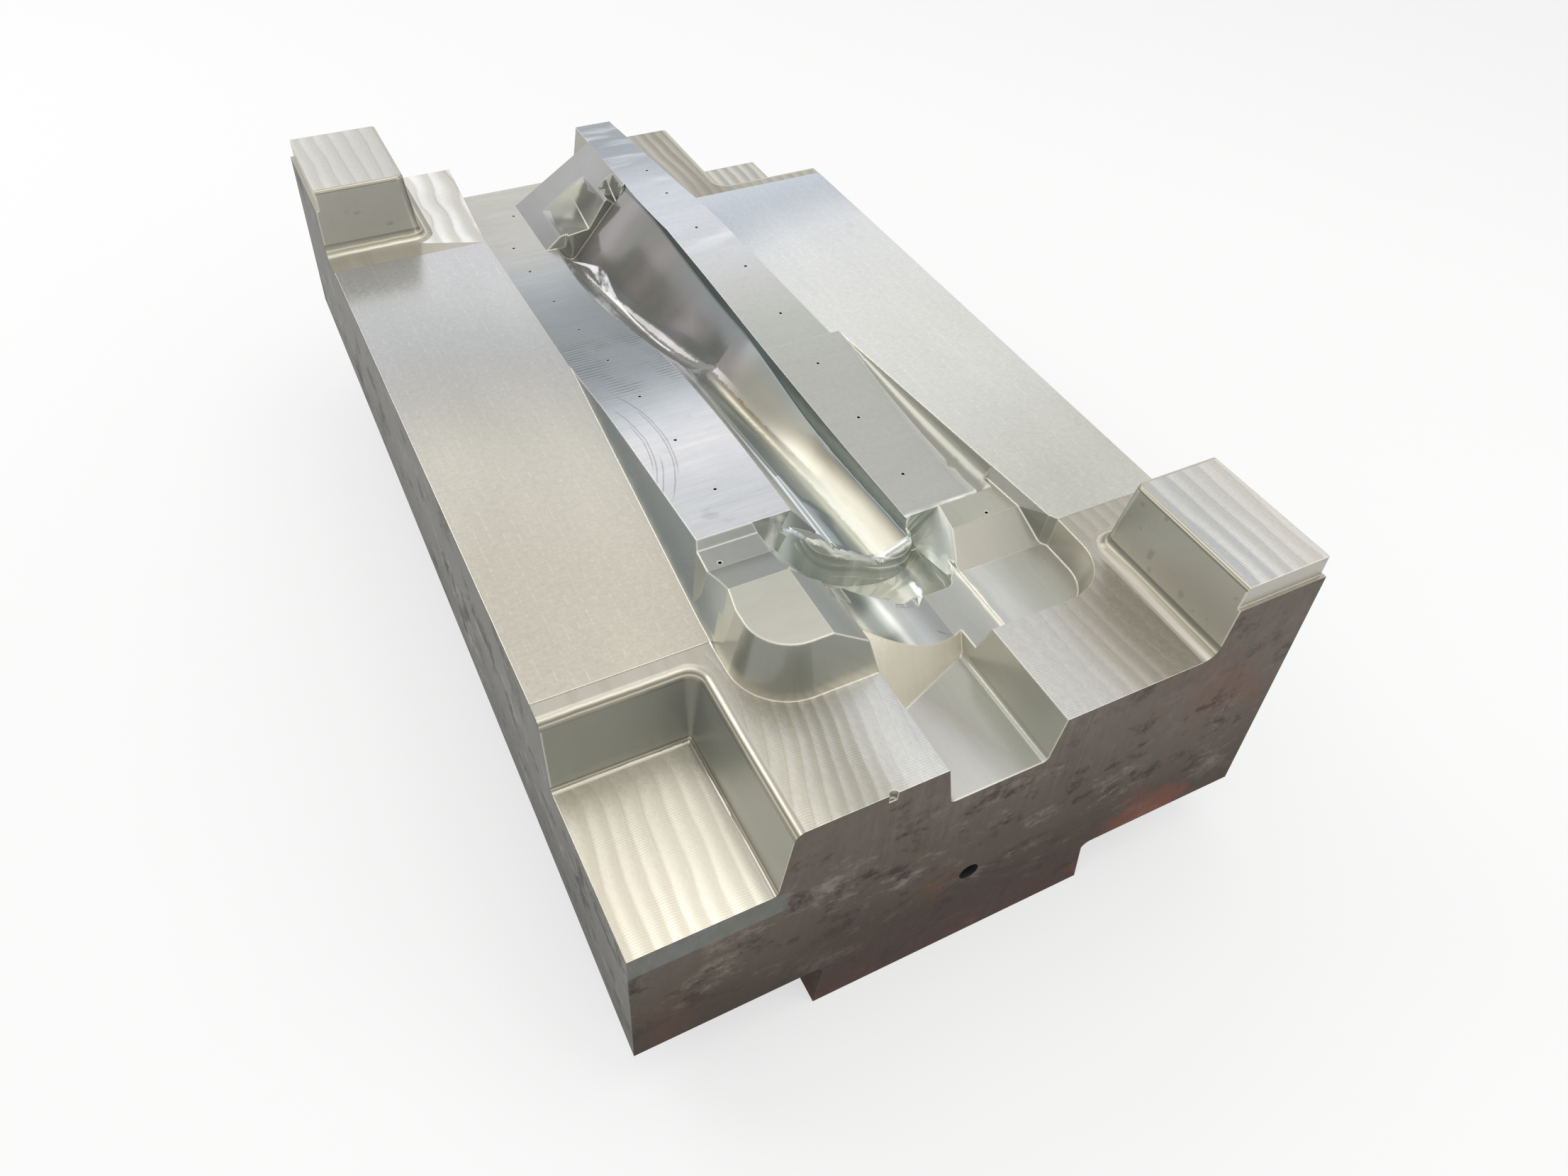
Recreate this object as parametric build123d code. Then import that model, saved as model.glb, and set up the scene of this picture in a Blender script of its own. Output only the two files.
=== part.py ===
"""Lower half of a large two-part injection mould, machined from one steel forging.

The block is drawn from the middle of its front edge: X to the right, Y to the back, and Z up
from the parting plane, so heights above the plane are positive and depths are negative. At the
end the finished block is moved so that its origin is the middle of the foot's underside.
"""

import os
from math import radians, tan

from build123d import *

# The forging: overall plan, and how far its rough underside lies below the parting plane
block_width = 560.0
block_length = 950.0
block_depth = 206.0
half_width = block_width / 2
underside_rise = 73.0

# Where the moulding's lands end at the front, and where its hollow ends at the back
land_end_y = 238.0
hollow_setback = 152.0
hollow_drawn_end_y = 798.0
hollow_end_y = block_length - hollow_setback

# The locating foot below the forging
foot_centre_x = -1.0
foot_root_width = 246.0
foot_base_width = 258.0
foot_depth = 53.0
foot_setback = 45.0
foot_length = block_length - foot_setback
foot_root_radius = 9.0

# The milled front and back zones, a hair lower than the ground plateaus
milled_zone_length = 171.5
milled_step = 0.6

# The two corner heels and the two corner pockets that lock the mould halves together
front_heel_width = 81.5
back_heel_width = 92.6
heel_setback = 44.5
heel_length = milled_zone_length - heel_setback
heel_height = 67.0
heel_draft = 7.0
heel_corner_radius = 8.0
heel_base_radius = 13.0
heel_top_radius = 4.0
skim_depth = 3.0
skim_height = 20.0
pocket_width = 119.5
pocket_setback = 18.5
pocket_length = milled_zone_length - pocket_setback
pocket_depth = 67.0
pocket_draft = 8.5
pocket_corner_radius = 12.0
pocket_floor_radius = 5.0
pocket_rim_radius = 9.0

# The drop-off trough at the front of the moulding
trough_left_x = -43.8
trough_right_x = 55.5
trough_depth = 44.0
trough_draft = 10.5
trough_floor_radius = 5.0
trough_end_left_y = 99.6
trough_end_right_y = 139.2
trough_end_lean = 27.7

# The window in the parting plane that holds the twisted shut-off faces of the moulding
window_front_y = 93.5
window_left_front_x = -143.0
window_right_front_x = 175.0
window_corner_radius = 46.0
bank_draft = 13.5
left_wall_draft = 22.8
sink_draft = 16.0

# The left shut-off land: sunk at the back, through the plane at its notch, proud in front
left_notch_x = -118.5
left_notch_y = 531.0
left_land_back_depth = 39.0
left_land_middle = ((790.0, -39.0), (745.0, -36.0), (683.0, -28.0), (606.0, -14.5), (531.0, 0.0),
                    (448.0, 12.9), (369.0, 22.3), (290.0, 31.2))
left_land_front_height = 37.0
left_channel_back_x = -111.0
left_channel_mid_x = -123.0
left_channel_mid_y = 783.0
left_channel_draft = 17.0
channel_overlap = 12.0

# The right shut-off land: proud at the back, through the plane at its notch, sunk in front
ridge_height = 23.0
ridge_crest_y = 690.0
ridge_back_right_x = 82.0
ridge_left_x = -5.0
right_notch_x = 132.0
right_notch_y = 483.0
sink_notch_x = 141.0
sink_front_x = 170.5
right_land_middle = ((430.0, -5.6), (371.0, -12.0), (330.0, -15.6), (290.0, -18.0))
right_land_front_depth = 20.0
roll_share = 1.2
land_end_radius = 6.0

# The stepped ends of both lands: a bench, a slope and a pad or basin floor
bench_back_y = 231.0
bench_front_y = 209.0
slope_front_y = 173.5
left_bench_height = 31.5
left_pad_height = 47.0
right_bench_depth = 13.0
basin_depth = 26.0

# The concave run-off between the left pad and the right basin, seen from the front
runoff_top_x = -78.5
runoff_shoulder = (-51.0, 30.0)
runoff_middle = (-22.4, 5.2)
runoff_lower = (5.8, -14.0)
runoff_foot_x = 42.0
runoff_end_x = 83.0
runoff_step = 1.5

# The moulding cavity between the lands, as stations from the lip to the back wall. Each holds
# y, the radius at the bottom, then (x, z) of the left edge, ledge, bottom, strip foot and right edge,
# with x counted from the block's middle line
cavity_lid_height = 70.0
cavity_middle_x = -18.0
cavity_right_x = 20.0
front_stations = (
    (222.5, 16.0, (-48.5, 45.5), (-3.0, -15.0), (41.0, -43.0), (70.0, -32.0), (73.0, -20.5)),
    (300.0, 16.0, (-42.0, 34.2), (-5.5, -15.0), (36.5, -44.0), (67.5, -31.0), (70.5, -17.4)),
    (370.0, 16.0, (-37.0, 23.8), (-8.5, -15.0), (31.0, -45.5), (63.5, -27.5), (66.5, -12.0)),
    (450.0, 16.0, (-34.0, 12.0), (-12.0, -15.5), (23.5, -47.5), (59.5, -14.5), (61.5, -4.0)),
    (520.0, 16.0, (-34.5, 1.6), (-15.0, -17.0), (17.0, -46.0), (56.0, -1.5), (57.5, 3.6)),
)
back_stations = (
    (520.0, 16.0, (-34.5, 1.6), (-15.0, -17.0), (17.0, -46.0), (56.0, -1.5), (57.5, 3.6)),
    (550.0, 16.0, (-37.5, -2.8), (-19.0, -31.0), (14.5, -56.0), (54.0, 0.5), (55.8, 6.0)),
    (610.0, 15.0, (-44.5, -11.7), (-26.0, -42.0), (4.0, -59.0), (50.5, 7.0), (52.5, 12.5)),
    (690.0, 12.0, (-48.0, -23.5), (-33.0, -48.0), (-11.0, -60.0), (46.5, 17.5), (48.0, 23.0)),
    (798.0, 8.0, (-41.5, -36.0), (-33.5, -50.0), (-22.5, -59.0), (42.5, 17.5), (44.2, 23.0)),
)
ledge_radius = 6.0
strip_radius = 3.0

# The eye-shaped dip across the bottom of the cavity, cut by a ball, with x from the middle line
eye_centre = (4.0, 540.0, -20.0)
eye_radius = 28.0

# The polished bowl across the block in front of the cavity lip, as (x, z) points of its bottom,
# with x counted from the block's middle line
bowl_front_y = 164.5
bowl_back_y = 225.0
bowl_bottom = ((-78.0, 48.0), (-73.0, 28.0), (-62.0, 8.0), (-48.0, -10.0), (-32.0, -30.0), (-13.0, -47.0),
               (8.0, -59.0), (28.0, -66.0), (48.0, -70.0), (63.0, -67.0), (72.0, -58.0), (76.5, -44.0))
bowl_front_radius = 20.0
bowl_middle = (20.0, 30.0)

# Where the bowl's back wall leaves its straight run and curves back round the left land's corner
bowl_bend_x = 10.0
bowl_bend_end_x = -52.0
lip_radius = 8.0

# The flat facet between the bowl and the right bench: a point on it, and how it rises to the
# right and falls to the back
facet_point = (100.0, 227.0, -13.0)
facet_rise = 1.308
facet_fall = 0.231
facet_ledge_z = -43.0
facet_ledge_width = 6.0

# Two small notches that lead from the run-off into the bowl, as (x, z) points of their floors
notches = ((147.0, ((-57.0, 35.0), (-52.0, 26.0), (-47.0, 21.5), (-39.0, 18.5))),
           (155.0, ((9.0, -15.0), (16.0, -24.5), (24.0, -28.0), (32.0, -25.5))))
notch_back_y = 175.0

# The incline that closes the cavity at the back, and the two facets cut into it, each as its
# left and right x from the middle line and its length
incline_foot_x = -52.0
incline_top_x = 43.0
incline_front_y = hollow_end_y
incline_setback = 42.0
incline_back_y = block_length - incline_setback
runout_floor_depth = 39.0
facets = ((-33.0, 19.0, 66.0), (22.0, 41.0, 31.0))
facet_depth = 17.0

# Drilled holes
gauge_hole_diameter = 3.0
gauge_hole_depth = 6.0
gauge_rows_y = (290.0, 369.0, 448.0, 526.5, 606.0, 683.0, 762.0, 818.0)
gauge_left_x = -83.0
gauge_right_front_x = 99.2
gauge_right_back_x = 79.0
gauge_right_shift_y = 650.0
gauge_bench_y = 213.5
gauge_bench_left_x = -114.7
gauge_bench_right_x = 134.2
gauge_last_setback = 64.0
gauge_last_x = -61.0
lifting_hole_x = 0.0
lifting_hole_depth_below_plane = 160.0
lifting_hole_diameter = 17.5
lifting_hole_length = 45.0
edge_hole_x = -87.5
edge_hole_diameter = 7.0
edge_hole_depth = 9.0

# How far a cutter reaches past the surface that it leaves
over = 20.0


def along(y):
    """A place along the moulding, which spreads out behind its land ends as the block grows."""
    if y < land_end_y:
        return y
    return land_end_y + (y - land_end_y) * (hollow_end_y - land_end_y) / (hollow_drawn_end_y - land_end_y)


def seen_from_front(points, y_from, y_to, radius=None):
    """A solid with an outline of (x, z) points that runs along Y."""
    rounded = radius is not None
    outline = FilletPolyline(*points, radius=radius, close=True) if rounded else Polyline(*points, close=True)
    face = front_plane(y_from) * make_face(outline)
    return extrude(face, amount=y_from - y_to)


def front_plane(y):
    """A plane across the block that faces the front, with its own Y pointing up."""
    return Plane(origin=(0, y, 0), x_dir=(1, 0, 0), z_dir=(0, -1, 0))


def seen_from_side(points, x_from, x_to):
    """A solid with an outline of (y, z) points that runs along X."""
    face = Plane.YZ.offset(x_from) * make_face(Polyline(*points, close=True))
    return extrude(face, amount=x_to - x_from)


def drafted(outline, height, draft, z=0.0):
    """A solid on an anticlockwise plan outline that narrows away from it; a negative height sinks."""
    return extrude(Pos(0, 0, z) * make_face(outline), amount=height, taper=draft)


def left_land_line():
    """The left land seen from the side, from the back to its front end, as (y, z) points."""
    middle = [(along(y), z) for y, z in left_land_middle]
    return ((block_length + over, -left_land_back_depth), *middle, (land_end_y, left_land_front_height))


def right_land_line():
    """The right land seen from the side, from the back to its front end, as (y, z) points."""
    middle = [(along(y), z) for y, z in right_land_middle]
    back = ((block_length + over, ridge_height), (along(ridge_crest_y), ridge_height))
    return (*back, (along(right_notch_y), 0.0), *middle, (land_end_y, -right_land_front_depth))


def land_height(line, y):
    """Height of a land over the parting plane at a place along Y."""
    for (y_back, z_back), (y_front, z_front) in zip(line, line[1:]):
        if y_front <= y <= y_back:
            return z_front + (z_back - z_front) * (y - y_front) / (y_back - y_front)
    return 0.0


def sunk(line):
    """The part of a land's line below the parting plane."""
    return tuple((y, z) for y, z in line if z <= 0.0)


def proud(line):
    """The part of a land's line above the parting plane."""
    return tuple((y, z) for y, z in line if z >= 0.0)


def corner_outline(width, length, corner_radius, at_back):
    """Plan of a pocket in the front left corner, or turned to the back right one.

    The outer sides run past the block, so that only the two inner sides keep their draft.
    """
    beyond = 2 * over
    outer, inner = -half_width - beyond, width - half_width
    radii = (0, 0, corner_radius, 0)
    points = ((outer, -beyond), (inner, -beyond), (inner, length), (outer, length))
    if at_back:
        points = tuple((-x, block_length - y) for x, y in points)
    return FilletPolyline(*points, radius=radii, close=True)


def mirrored_heel_outline(width, length, at_back):
    """Plan of a heel in the front right corner, or turned to the back left one."""
    beyond = 2 * over
    outer, inner = half_width + beyond, half_width - width
    points = ((inner, -beyond), (outer, -beyond), (outer, length), (inner, length))
    if at_back:
        points = tuple((-x, block_length - y) for x, y in points)
    return Polyline(*points, close=True)


def inner_corner(heel):
    """The slanting corner edge of a heel that is nearest to the block's middle."""
    rising = [e for e in heel.edges() if e.bounding_box().size.Z > heel_height / 2]
    middle = Vector(0, block_length / 2, 0)
    return min(rising, key=lambda e: (e.center() - middle).length)


def plan_box(z_from, z_to):
    """A box on the block's own plan, between two heights."""
    size = (block_width, block_length, z_to - z_from)
    return Pos(0, block_length / 2, (z_from + z_to) / 2) * Box(*size)


def forging():
    """The block with its sloping underside, its foot and the two milled end zones."""
    side = ((0, -block_depth), (block_length, underside_rise - block_depth), (block_length, 0), (0, 0))
    block = seen_from_side(side, -half_width, half_width)
    base_z = -block_depth - foot_depth
    root, base = foot_root_width / 2, foot_base_width / 2
    outline = ((-base, base_z), (base, base_z), (root, -block_depth), (root, -block_depth / 2),
               (-root, -block_depth / 2), (-root, -block_depth))
    foot = seen_from_front([(foot_centre_x + x, z) for x, z in outline], 0, foot_length)
    block += foot
    roots = [e for e in block.edges() if abs(abs(e.center().X - foot_centre_x) - root) < 1
             and e.length > foot_length - 10 and e.center().Z > -block_depth]
    block = fillet(roots, foot_root_radius)
    for y in (milled_zone_length / 2, block_length - milled_zone_length / 2):
        zone = Box(block_width, milled_zone_length, 2 * milled_step)
        block -= Pos(0, y, 0) * zone
    return block


def at_height(shape, z, reach=0.01):
    """The edges of a solid that lie flat at one height."""
    return [e for e in shape.edges() if abs(e.center().Z - z) < reach and e.bounding_box().size.Z < reach]


def with_heels(block):
    """Adds both locking heels with their rounded roots and edges and their skimmed sides."""
    spread = heel_height * tan(radians(heel_draft))
    for width, at_back in ((front_heel_width, False), (back_heel_width, True)):
        outline = mirrored_heel_outline(width + spread, heel_length + spread, at_back)
        heel = drafted(outline, heel_height + milled_step, heel_draft, -milled_step)
        heel = fillet(inner_corner(heel), heel_corner_radius)
        heel = fillet(at_height(heel, heel_height), heel_top_radius)
        block += heel & plan_box(-milled_step, heel_height)
    base = [e for e in at_height(block, -milled_step) if heel_root_edge(e)]
    block = fillet(base, heel_base_radius)
    skim_from = heel_height - skim_height
    skin = plan_box(skim_from, heel_height + over)
    inner = Box(block_width - 2 * skim_depth, block_length - 2 * skim_depth, 2 * block_depth)
    skin -= Pos(0, block_length / 2, 0) * inner
    return block - skin


def heel_root_edge(edge):
    """Whether an edge in the milled zones is where a heel stands on them."""
    spread = heel_height * tan(radians(heel_draft))
    c = edge.center()
    near = 1.0
    front = c.X > half_width - front_heel_width - spread - near and c.Y < heel_length + spread + near
    back = c.X < back_heel_width + spread + near - half_width and c.Y > block_length - heel_length - spread - near
    outer = min(half_width - abs(c.X), c.Y, block_length - c.Y) < near
    return (front or back) and not outer


def heel_rim_edge(edge):
    """Whether an edge on top of a heel is on its inner sides."""
    c = edge.center()
    return min(half_width - abs(c.X), c.Y, block_length - c.Y) > 1.0


def with_pockets(block):
    """Sinks both locking pockets with their rounded floors and rims."""
    for at_back in (False, True):
        outline = corner_outline(pocket_width, pocket_length, pocket_corner_radius, at_back)
        cutter = drafted(outline, -pocket_depth, pocket_draft)
        floor = [e for e in at_height(cutter, -pocket_depth) if heel_rim_edge(e)]
        block -= fillet(floor, pocket_floor_radius)
    rim = [e for e in at_height(block, -milled_step) if pocket_rim_edge(e)]
    return fillet(rim, pocket_rim_radius)


def pocket_rim_edge(edge):
    """Whether an edge in the milled zones is the rim of a pocket."""
    c = edge.center()
    near = 1.0
    front = c.X < pocket_width + near - half_width and c.Y < pocket_length + near
    back = c.X > half_width - pocket_width - near and c.Y > block_length - pocket_length - near
    outer = min(half_width - abs(c.X), c.Y, block_length - c.Y) < near
    return (front or back) and not outer


def left_bank():
    """What stands proud on the left: the land's front half, its bench and the rounded pad."""
    outline = FilletPolyline(
        (left_notch_x, along(left_notch_y) + over), (left_notch_x, along(left_notch_y)),
        (window_left_front_x, milled_zone_length), (window_left_front_x, window_front_y),
        (cavity_right_x, window_front_y), (cavity_right_x, along(left_notch_y) + over),
        radius=(0, 0, 0, window_corner_radius, 0, 0), close=True)
    bank = drafted(outline, cavity_lid_height, bank_draft, -2 * milled_step)
    line = proud(left_land_line()) + (
        (bench_back_y, left_bench_height), (bench_front_y, left_bench_height),
        (slope_front_y, left_pad_height), (window_front_y - over, left_pad_height))
    floor = ((line[-1][0], -over), (line[0][0] + over, -over))
    bank = bank & seen_from_side(line + floor, -half_width, half_width)
    return bank - left_wall_cut()


def left_wall_cut():
    """The cutter that leans the long left wall of the bank back further than its front."""
    def section(y, draft):
        share = max(0.0, (y - milled_zone_length) / (along(left_notch_y) - milled_zone_length))
        foot = window_left_front_x + share * (left_notch_x - window_left_front_x)
        top = foot + cavity_lid_height * tan(radians(draft))
        points = ((foot, 0), (top, cavity_lid_height), (foot - over, cavity_lid_height), (foot - over, 0))
        return front_plane(y) * make_face(Polyline(*points, close=True))
    places = ((along(left_notch_y) + over, left_wall_draft), (bench_front_y, left_wall_draft),
              (milled_zone_length - over, bank_draft))
    return loft([section(*place) for place in places], ruled=True)


def right_ridge():
    """What stands proud on the right: the back half of the right land."""
    spread = ridge_height * tan(radians(bank_draft))
    back_y = block_length + 2 * over
    notch_y = along(right_notch_y)
    outline = Polyline((ridge_left_x, notch_y - over), (right_notch_x, notch_y - over),
                       (right_notch_x, notch_y), (ridge_back_right_x + spread, back_y),
                       (ridge_left_x, back_y), close=True)
    ridge = drafted(outline, cavity_lid_height, bank_draft, -2 * milled_step)
    line = proud(right_land_line())
    floor = ((line[-1][0] - over, -over), (line[0][0], -over))
    side = seen_from_side(line + floor, -half_width, half_width)
    return ridge & side & plan_box(-over, cavity_lid_height)


def left_channel():
    """The cutter that sinks the back half of the left land below the plateau."""
    back_y = block_length + 2 * over
    notch_y = along(left_notch_y)
    outline = Polyline((left_channel_back_x, back_y), (left_channel_mid_x, along(left_channel_mid_y)),
                       (left_notch_x, notch_y - over), (cavity_middle_x, notch_y - over),
                       (cavity_middle_x, incline_front_y + channel_overlap),
                       (incline_foot_x, incline_front_y + channel_overlap), (incline_foot_x, back_y), close=True)
    sink = drafted(outline, -cavity_lid_height, left_channel_draft)
    line = sunk(left_land_line())
    sky = ((line[-1][0] - over, over), (line[0][0], over))
    return sink & seen_from_side(line + sky, -half_width, half_width)


def back_incline():
    """The cutter over the incline behind the cavity and over the lower run-out behind that."""
    foot_x, top_x = incline_foot_x, incline_top_x
    start_x = foot_x - over
    sky = ((top_x, cavity_lid_height), (start_x, cavity_lid_height))
    level = (start_x, -left_land_back_depth)
    incline = (level, (foot_x, -left_land_back_depth), (top_x, ridge_height)) + sky
    runout = (level, (foot_x, -left_land_back_depth), (foot_x + 2, -runout_floor_depth),
              (top_x - 9, -runout_floor_depth), (top_x, ridge_height)) + sky
    front = seen_from_front(incline, incline_front_y, incline_back_y)
    back = seen_from_front(runout, incline_back_y, block_length + over)
    return front, back


def incline_height(x):
    """Height of the incline behind the cavity at a place along X."""
    share = (x - incline_foot_x) / (incline_top_x - incline_foot_x)
    return -left_land_back_depth + share * (ridge_height + left_land_back_depth)


def incline_facet(x_left, x_right, y_back):
    """One of the V-shaped facets that run from the incline down into the cavity's end."""
    def section(y, depth):
        x_root = x_left + 0.62 * (x_right - x_left)
        points = ((x_left, incline_height(x_left) + over), (x_left, incline_height(x_left)),
                  (x_root, incline_height(x_root) - depth), (x_right, incline_height(x_right)),
                  (x_right, incline_height(x_right) + over))
        return front_plane(y) * make_face(Polyline(*points, close=True))
    return loft([section(incline_front_y - 1, facet_depth), section(y_back, 0.3)], ruled=True)


def right_sink():
    """The cutter for the sunk front half of the right land, its bench and the basin."""
    outline = FilletPolyline(
        (window_left_front_x, window_front_y), (window_right_front_x, window_front_y),
        (window_right_front_x, milled_zone_length), (sink_front_x, milled_zone_length + 7),
        (sink_notch_x, along(right_notch_y)), (cavity_middle_x, along(right_notch_y)), (cavity_middle_x, land_end_y),
        (window_left_front_x, land_end_y),
        radius=(0, window_corner_radius, 0, 0, 0, 0, 0, 0), close=True)
    window = drafted(outline, -pocket_depth, sink_draft)
    line = ((bench_back_y + over, -right_bench_depth), (bench_front_y, -right_bench_depth),
            (slope_front_y, -basin_depth), (window_front_y - over, -basin_depth))
    sky = ((line[-1][0], over), (line[0][0], over))
    floor = seen_from_side(line + sky, runoff_end_x, half_width)
    return (window & floor) + sunk_land(), window


def sunk_land():
    """The cutter for the sunk land, with a broad roll up to its right wall and to the bench."""
    line = right_land_line()
    places = [(along(right_notch_y), 0.05)]
    places += [(along(y), -z) for y, z in right_land_middle]
    for share in (1.0, 0.5, 0.2, 0.0):
        y = land_end_y + share * land_end_radius
        places.append((y, -land_height(line, y) - rounding(land_end_radius, share)))
    sections = []
    for y, depth in places:
        share = (y - milled_zone_length) / (along(right_notch_y) - milled_zone_length)
        edge = sink_front_x + share * (sink_notch_x - sink_front_x)
        slope = tan(radians(sink_draft))
        outline = FilletPolyline(
            (cavity_middle_x, -depth), (edge - depth * slope, -depth), (edge, 0), (edge + over * slope, over),
            (cavity_middle_x, over), radius=(0, roll_share * depth, 0, 0, 0), close=True)
        sections.append(front_plane(y) * make_face(outline))
    return loft(sections, ruled=True)


def runoff(y_from, y_to):
    """The concave run-off from the pad's edge down to the level of the basin floor."""
    top = (runoff_top_x, left_pad_height)
    foot = (runoff_foot_x, -basin_depth - runoff_step)
    end = (runoff_end_x, -basin_depth - runoff_step)
    curve = Spline(runoff_shoulder, runoff_middle, runoff_lower, foot)
    outline = [Line(top, runoff_shoulder), curve, Line(foot, end), Line(end, (runoff_end_x, cavity_lid_height)),
               Line((runoff_end_x, cavity_lid_height), (runoff_top_x, cavity_lid_height)),
               Line((runoff_top_x, cavity_lid_height), top)]
    return extrude(front_plane(y_from) * make_face(outline), amount=y_from - y_to)


def trough():
    """The cutters for the front trough and its leaning end face."""
    along = Vector(trough_right_x - trough_left_x, trough_end_right_y - trough_end_left_y, 0).normalized()
    outward = Vector(along.Y, -along.X, 0)
    lean = radians(trough_end_lean)
    normal = outward + Vector(0, 0, tan(lean))
    end = Plane(origin=(trough_left_x, trough_end_left_y, 0), x_dir=along, z_dir=normal)
    reach = block_width
    before_end = extrude(end * Rectangle(2 * reach, 2 * reach), amount=reach)
    narrow = trough_depth * tan(radians(trough_draft))
    outline = ((trough_left_x, 0), (trough_left_x + narrow, -trough_depth), (trough_right_x - narrow, -trough_depth),
               (trough_right_x, 0), (trough_right_x, over), (trough_left_x, over))
    radii = (0, trough_floor_radius, trough_floor_radius, 0, 0, 0)
    channel = seen_from_front(outline, -over, trough_end_right_y + over, radii)
    upper = ((trough_left_x, -milled_step), (trough_left_x - 7, 30), (trough_left_x - 10, cavity_lid_height),
             (trough_right_x, cavity_lid_height), (trough_right_x, -milled_step))
    shear = seen_from_front(upper, -over, trough_end_right_y + 2 * over)
    return channel & before_end, shear & before_end


def cavity(stations):
    """A smooth cutter through cross-sections of the moulding cavity."""
    sections = []
    for y, bottom_radius, left, ledge, bottom, strip, right in stations:
        lean = (cavity_lid_height - strip[1]) / (right[1] - strip[1])
        right_top = (strip[0] + lean * (right[0] - strip[0]), cavity_lid_height)
        points = (left, ledge, bottom, strip, right_top, (left[0], cavity_lid_height))
        radii = (0, ledge_radius, bottom_radius, strip_radius, 0, 0)
        sections.append(front_plane(along(y)) * make_face(FilletPolyline(*points, radius=radii, close=True)))
    return loft(sections)


def bowl_section(y, inset):
    """The outline of the bowl across the block, drawn in towards its middle by an inset.

    On its right the bowl's wall ends in the flat facet that leans away to the right bench.
    """
    middle = Vector(*bowl_middle)
    last_x = bowl_bottom[-1][0]
    points = []
    for x, z in bowl_bottom[:-1] + ((last_x, facet_height(last_x, y)),):
        point = Vector(x, z)
        points.append(point + (middle - point).normalized() * inset)
    left_top = Vector(points[0].X, cavity_lid_height)
    right_top = Vector(points[-1].X + (cavity_lid_height - points[-1].Y) / facet_rise, cavity_lid_height)
    outline = [Spline(*points), Line(points[-1], right_top), Line(right_top, left_top), Line(left_top, points[0])]
    return front_plane(y) * make_face(outline)


def bowl():
    """The cutter for the bowl, rounded at the front and held by its curved back wall."""
    sections = []
    for share in (0.0, 0.1, 0.3, 0.6, 1.0):
        sections.append(bowl_section(bowl_front_y + share * bowl_front_radius, rounding(bowl_front_radius, share)))
    sections.append(bowl_section(land_end_y + over, 0.0))
    tub = loft(sections, ruled=True)
    beyond = half_width / 2
    start, end = (bowl_bend_x, bowl_back_y), (bowl_bend_end_x, land_end_y)
    outline = [Line((-beyond, 0), (beyond, 0)), Line((beyond, 0), (beyond, bowl_back_y)),
               Line((beyond, bowl_back_y), start), TangentArc(start, end, tangent=(-1, 0)),
               Line(end, (-beyond, land_end_y)), Line((-beyond, land_end_y), (-beyond, 0))]
    room = extrude(Pos(0, 0, -block_depth / 2) * make_face(outline), amount=block_depth)
    return tub & room


def facet_height(x, y):
    """Height of the flat facet beside the bowl."""
    at_x, at_y, at_z = facet_point
    return at_z + facet_rise * (x - at_x) - facet_fall * (y - at_y)


def bench_facet():
    """The cutter that carries the facet on behind the bowl, over a small ledge."""
    def section(y):
        foot_x = facet_point[0] + (facet_ledge_z - facet_height(facet_point[0], y)) / facet_rise
        lean_x = foot_x + (over - facet_ledge_z) / facet_rise
        start_x = foot_x - facet_ledge_width
        points = ((foot_x, facet_ledge_z), (lean_x, over), (start_x, over), (start_x, facet_ledge_z))
        return front_plane(y) * make_face(Polyline(*points, close=True))
    return loft([section(bowl_back_y - 1), section(land_end_y)], ruled=True)


def notch(front_y, floor):
    """The cutter for a small notch through the bowl's front border."""
    sky = ((floor[-1][0], cavity_lid_height), (floor[0][0], cavity_lid_height))
    return seen_from_front(floor + sky, front_y, notch_back_y)


def lip_edge(edge):
    """Whether an edge is where the hollow runs out over the bowl's back wall."""
    box = edge.bounding_box()
    on_wall = box.min.Y > bowl_back_y - 0.1 and box.max.Y < land_end_y
    seam = box.size.X < 0.1 and bowl_bend_x - 1 < box.min.X < bowl_bend_x + 1
    between = box.min.X > bowl_bend_end_x + 0.5 and box.max.X < bowl_bottom[-1][0]
    return on_wall and between and not seam and box.min.Z > facet_ledge_z


def rounding(radius, share):
    """How far a rounded end is still drawn in, at a share of its radius from the end."""
    return radius - radius * (1 - (1 - share) ** 2) ** 0.5


def hole(x, y, z, diameter, depth):
    """A drill standing at a height over the parting plane."""
    top = cavity_lid_height
    return Pos(x, y, (z - depth + top) / 2) * Cylinder(diameter / 2, top - z + depth)


def gauge_holes():
    """The rows of small gauge holes along both lands and on both benches."""
    drills = []
    for row in gauge_rows_y:
        y = along(row)
        x = gauge_right_back_x if row > gauge_right_shift_y else gauge_right_front_x
        drills.append((gauge_left_x, y, land_height(left_land_line(), y)))
        drills.append((x, y, land_height(right_land_line(), y)))
    drills.append((gauge_last_x, block_length - gauge_last_setback, -left_land_back_depth))
    drills.append((gauge_bench_left_x, gauge_bench_y, left_bench_height))
    drills.append((gauge_bench_right_x, gauge_bench_y, -right_bench_depth))
    drills = [hole(*place, gauge_hole_diameter, gauge_hole_depth) for place in drills]
    return drills


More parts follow.
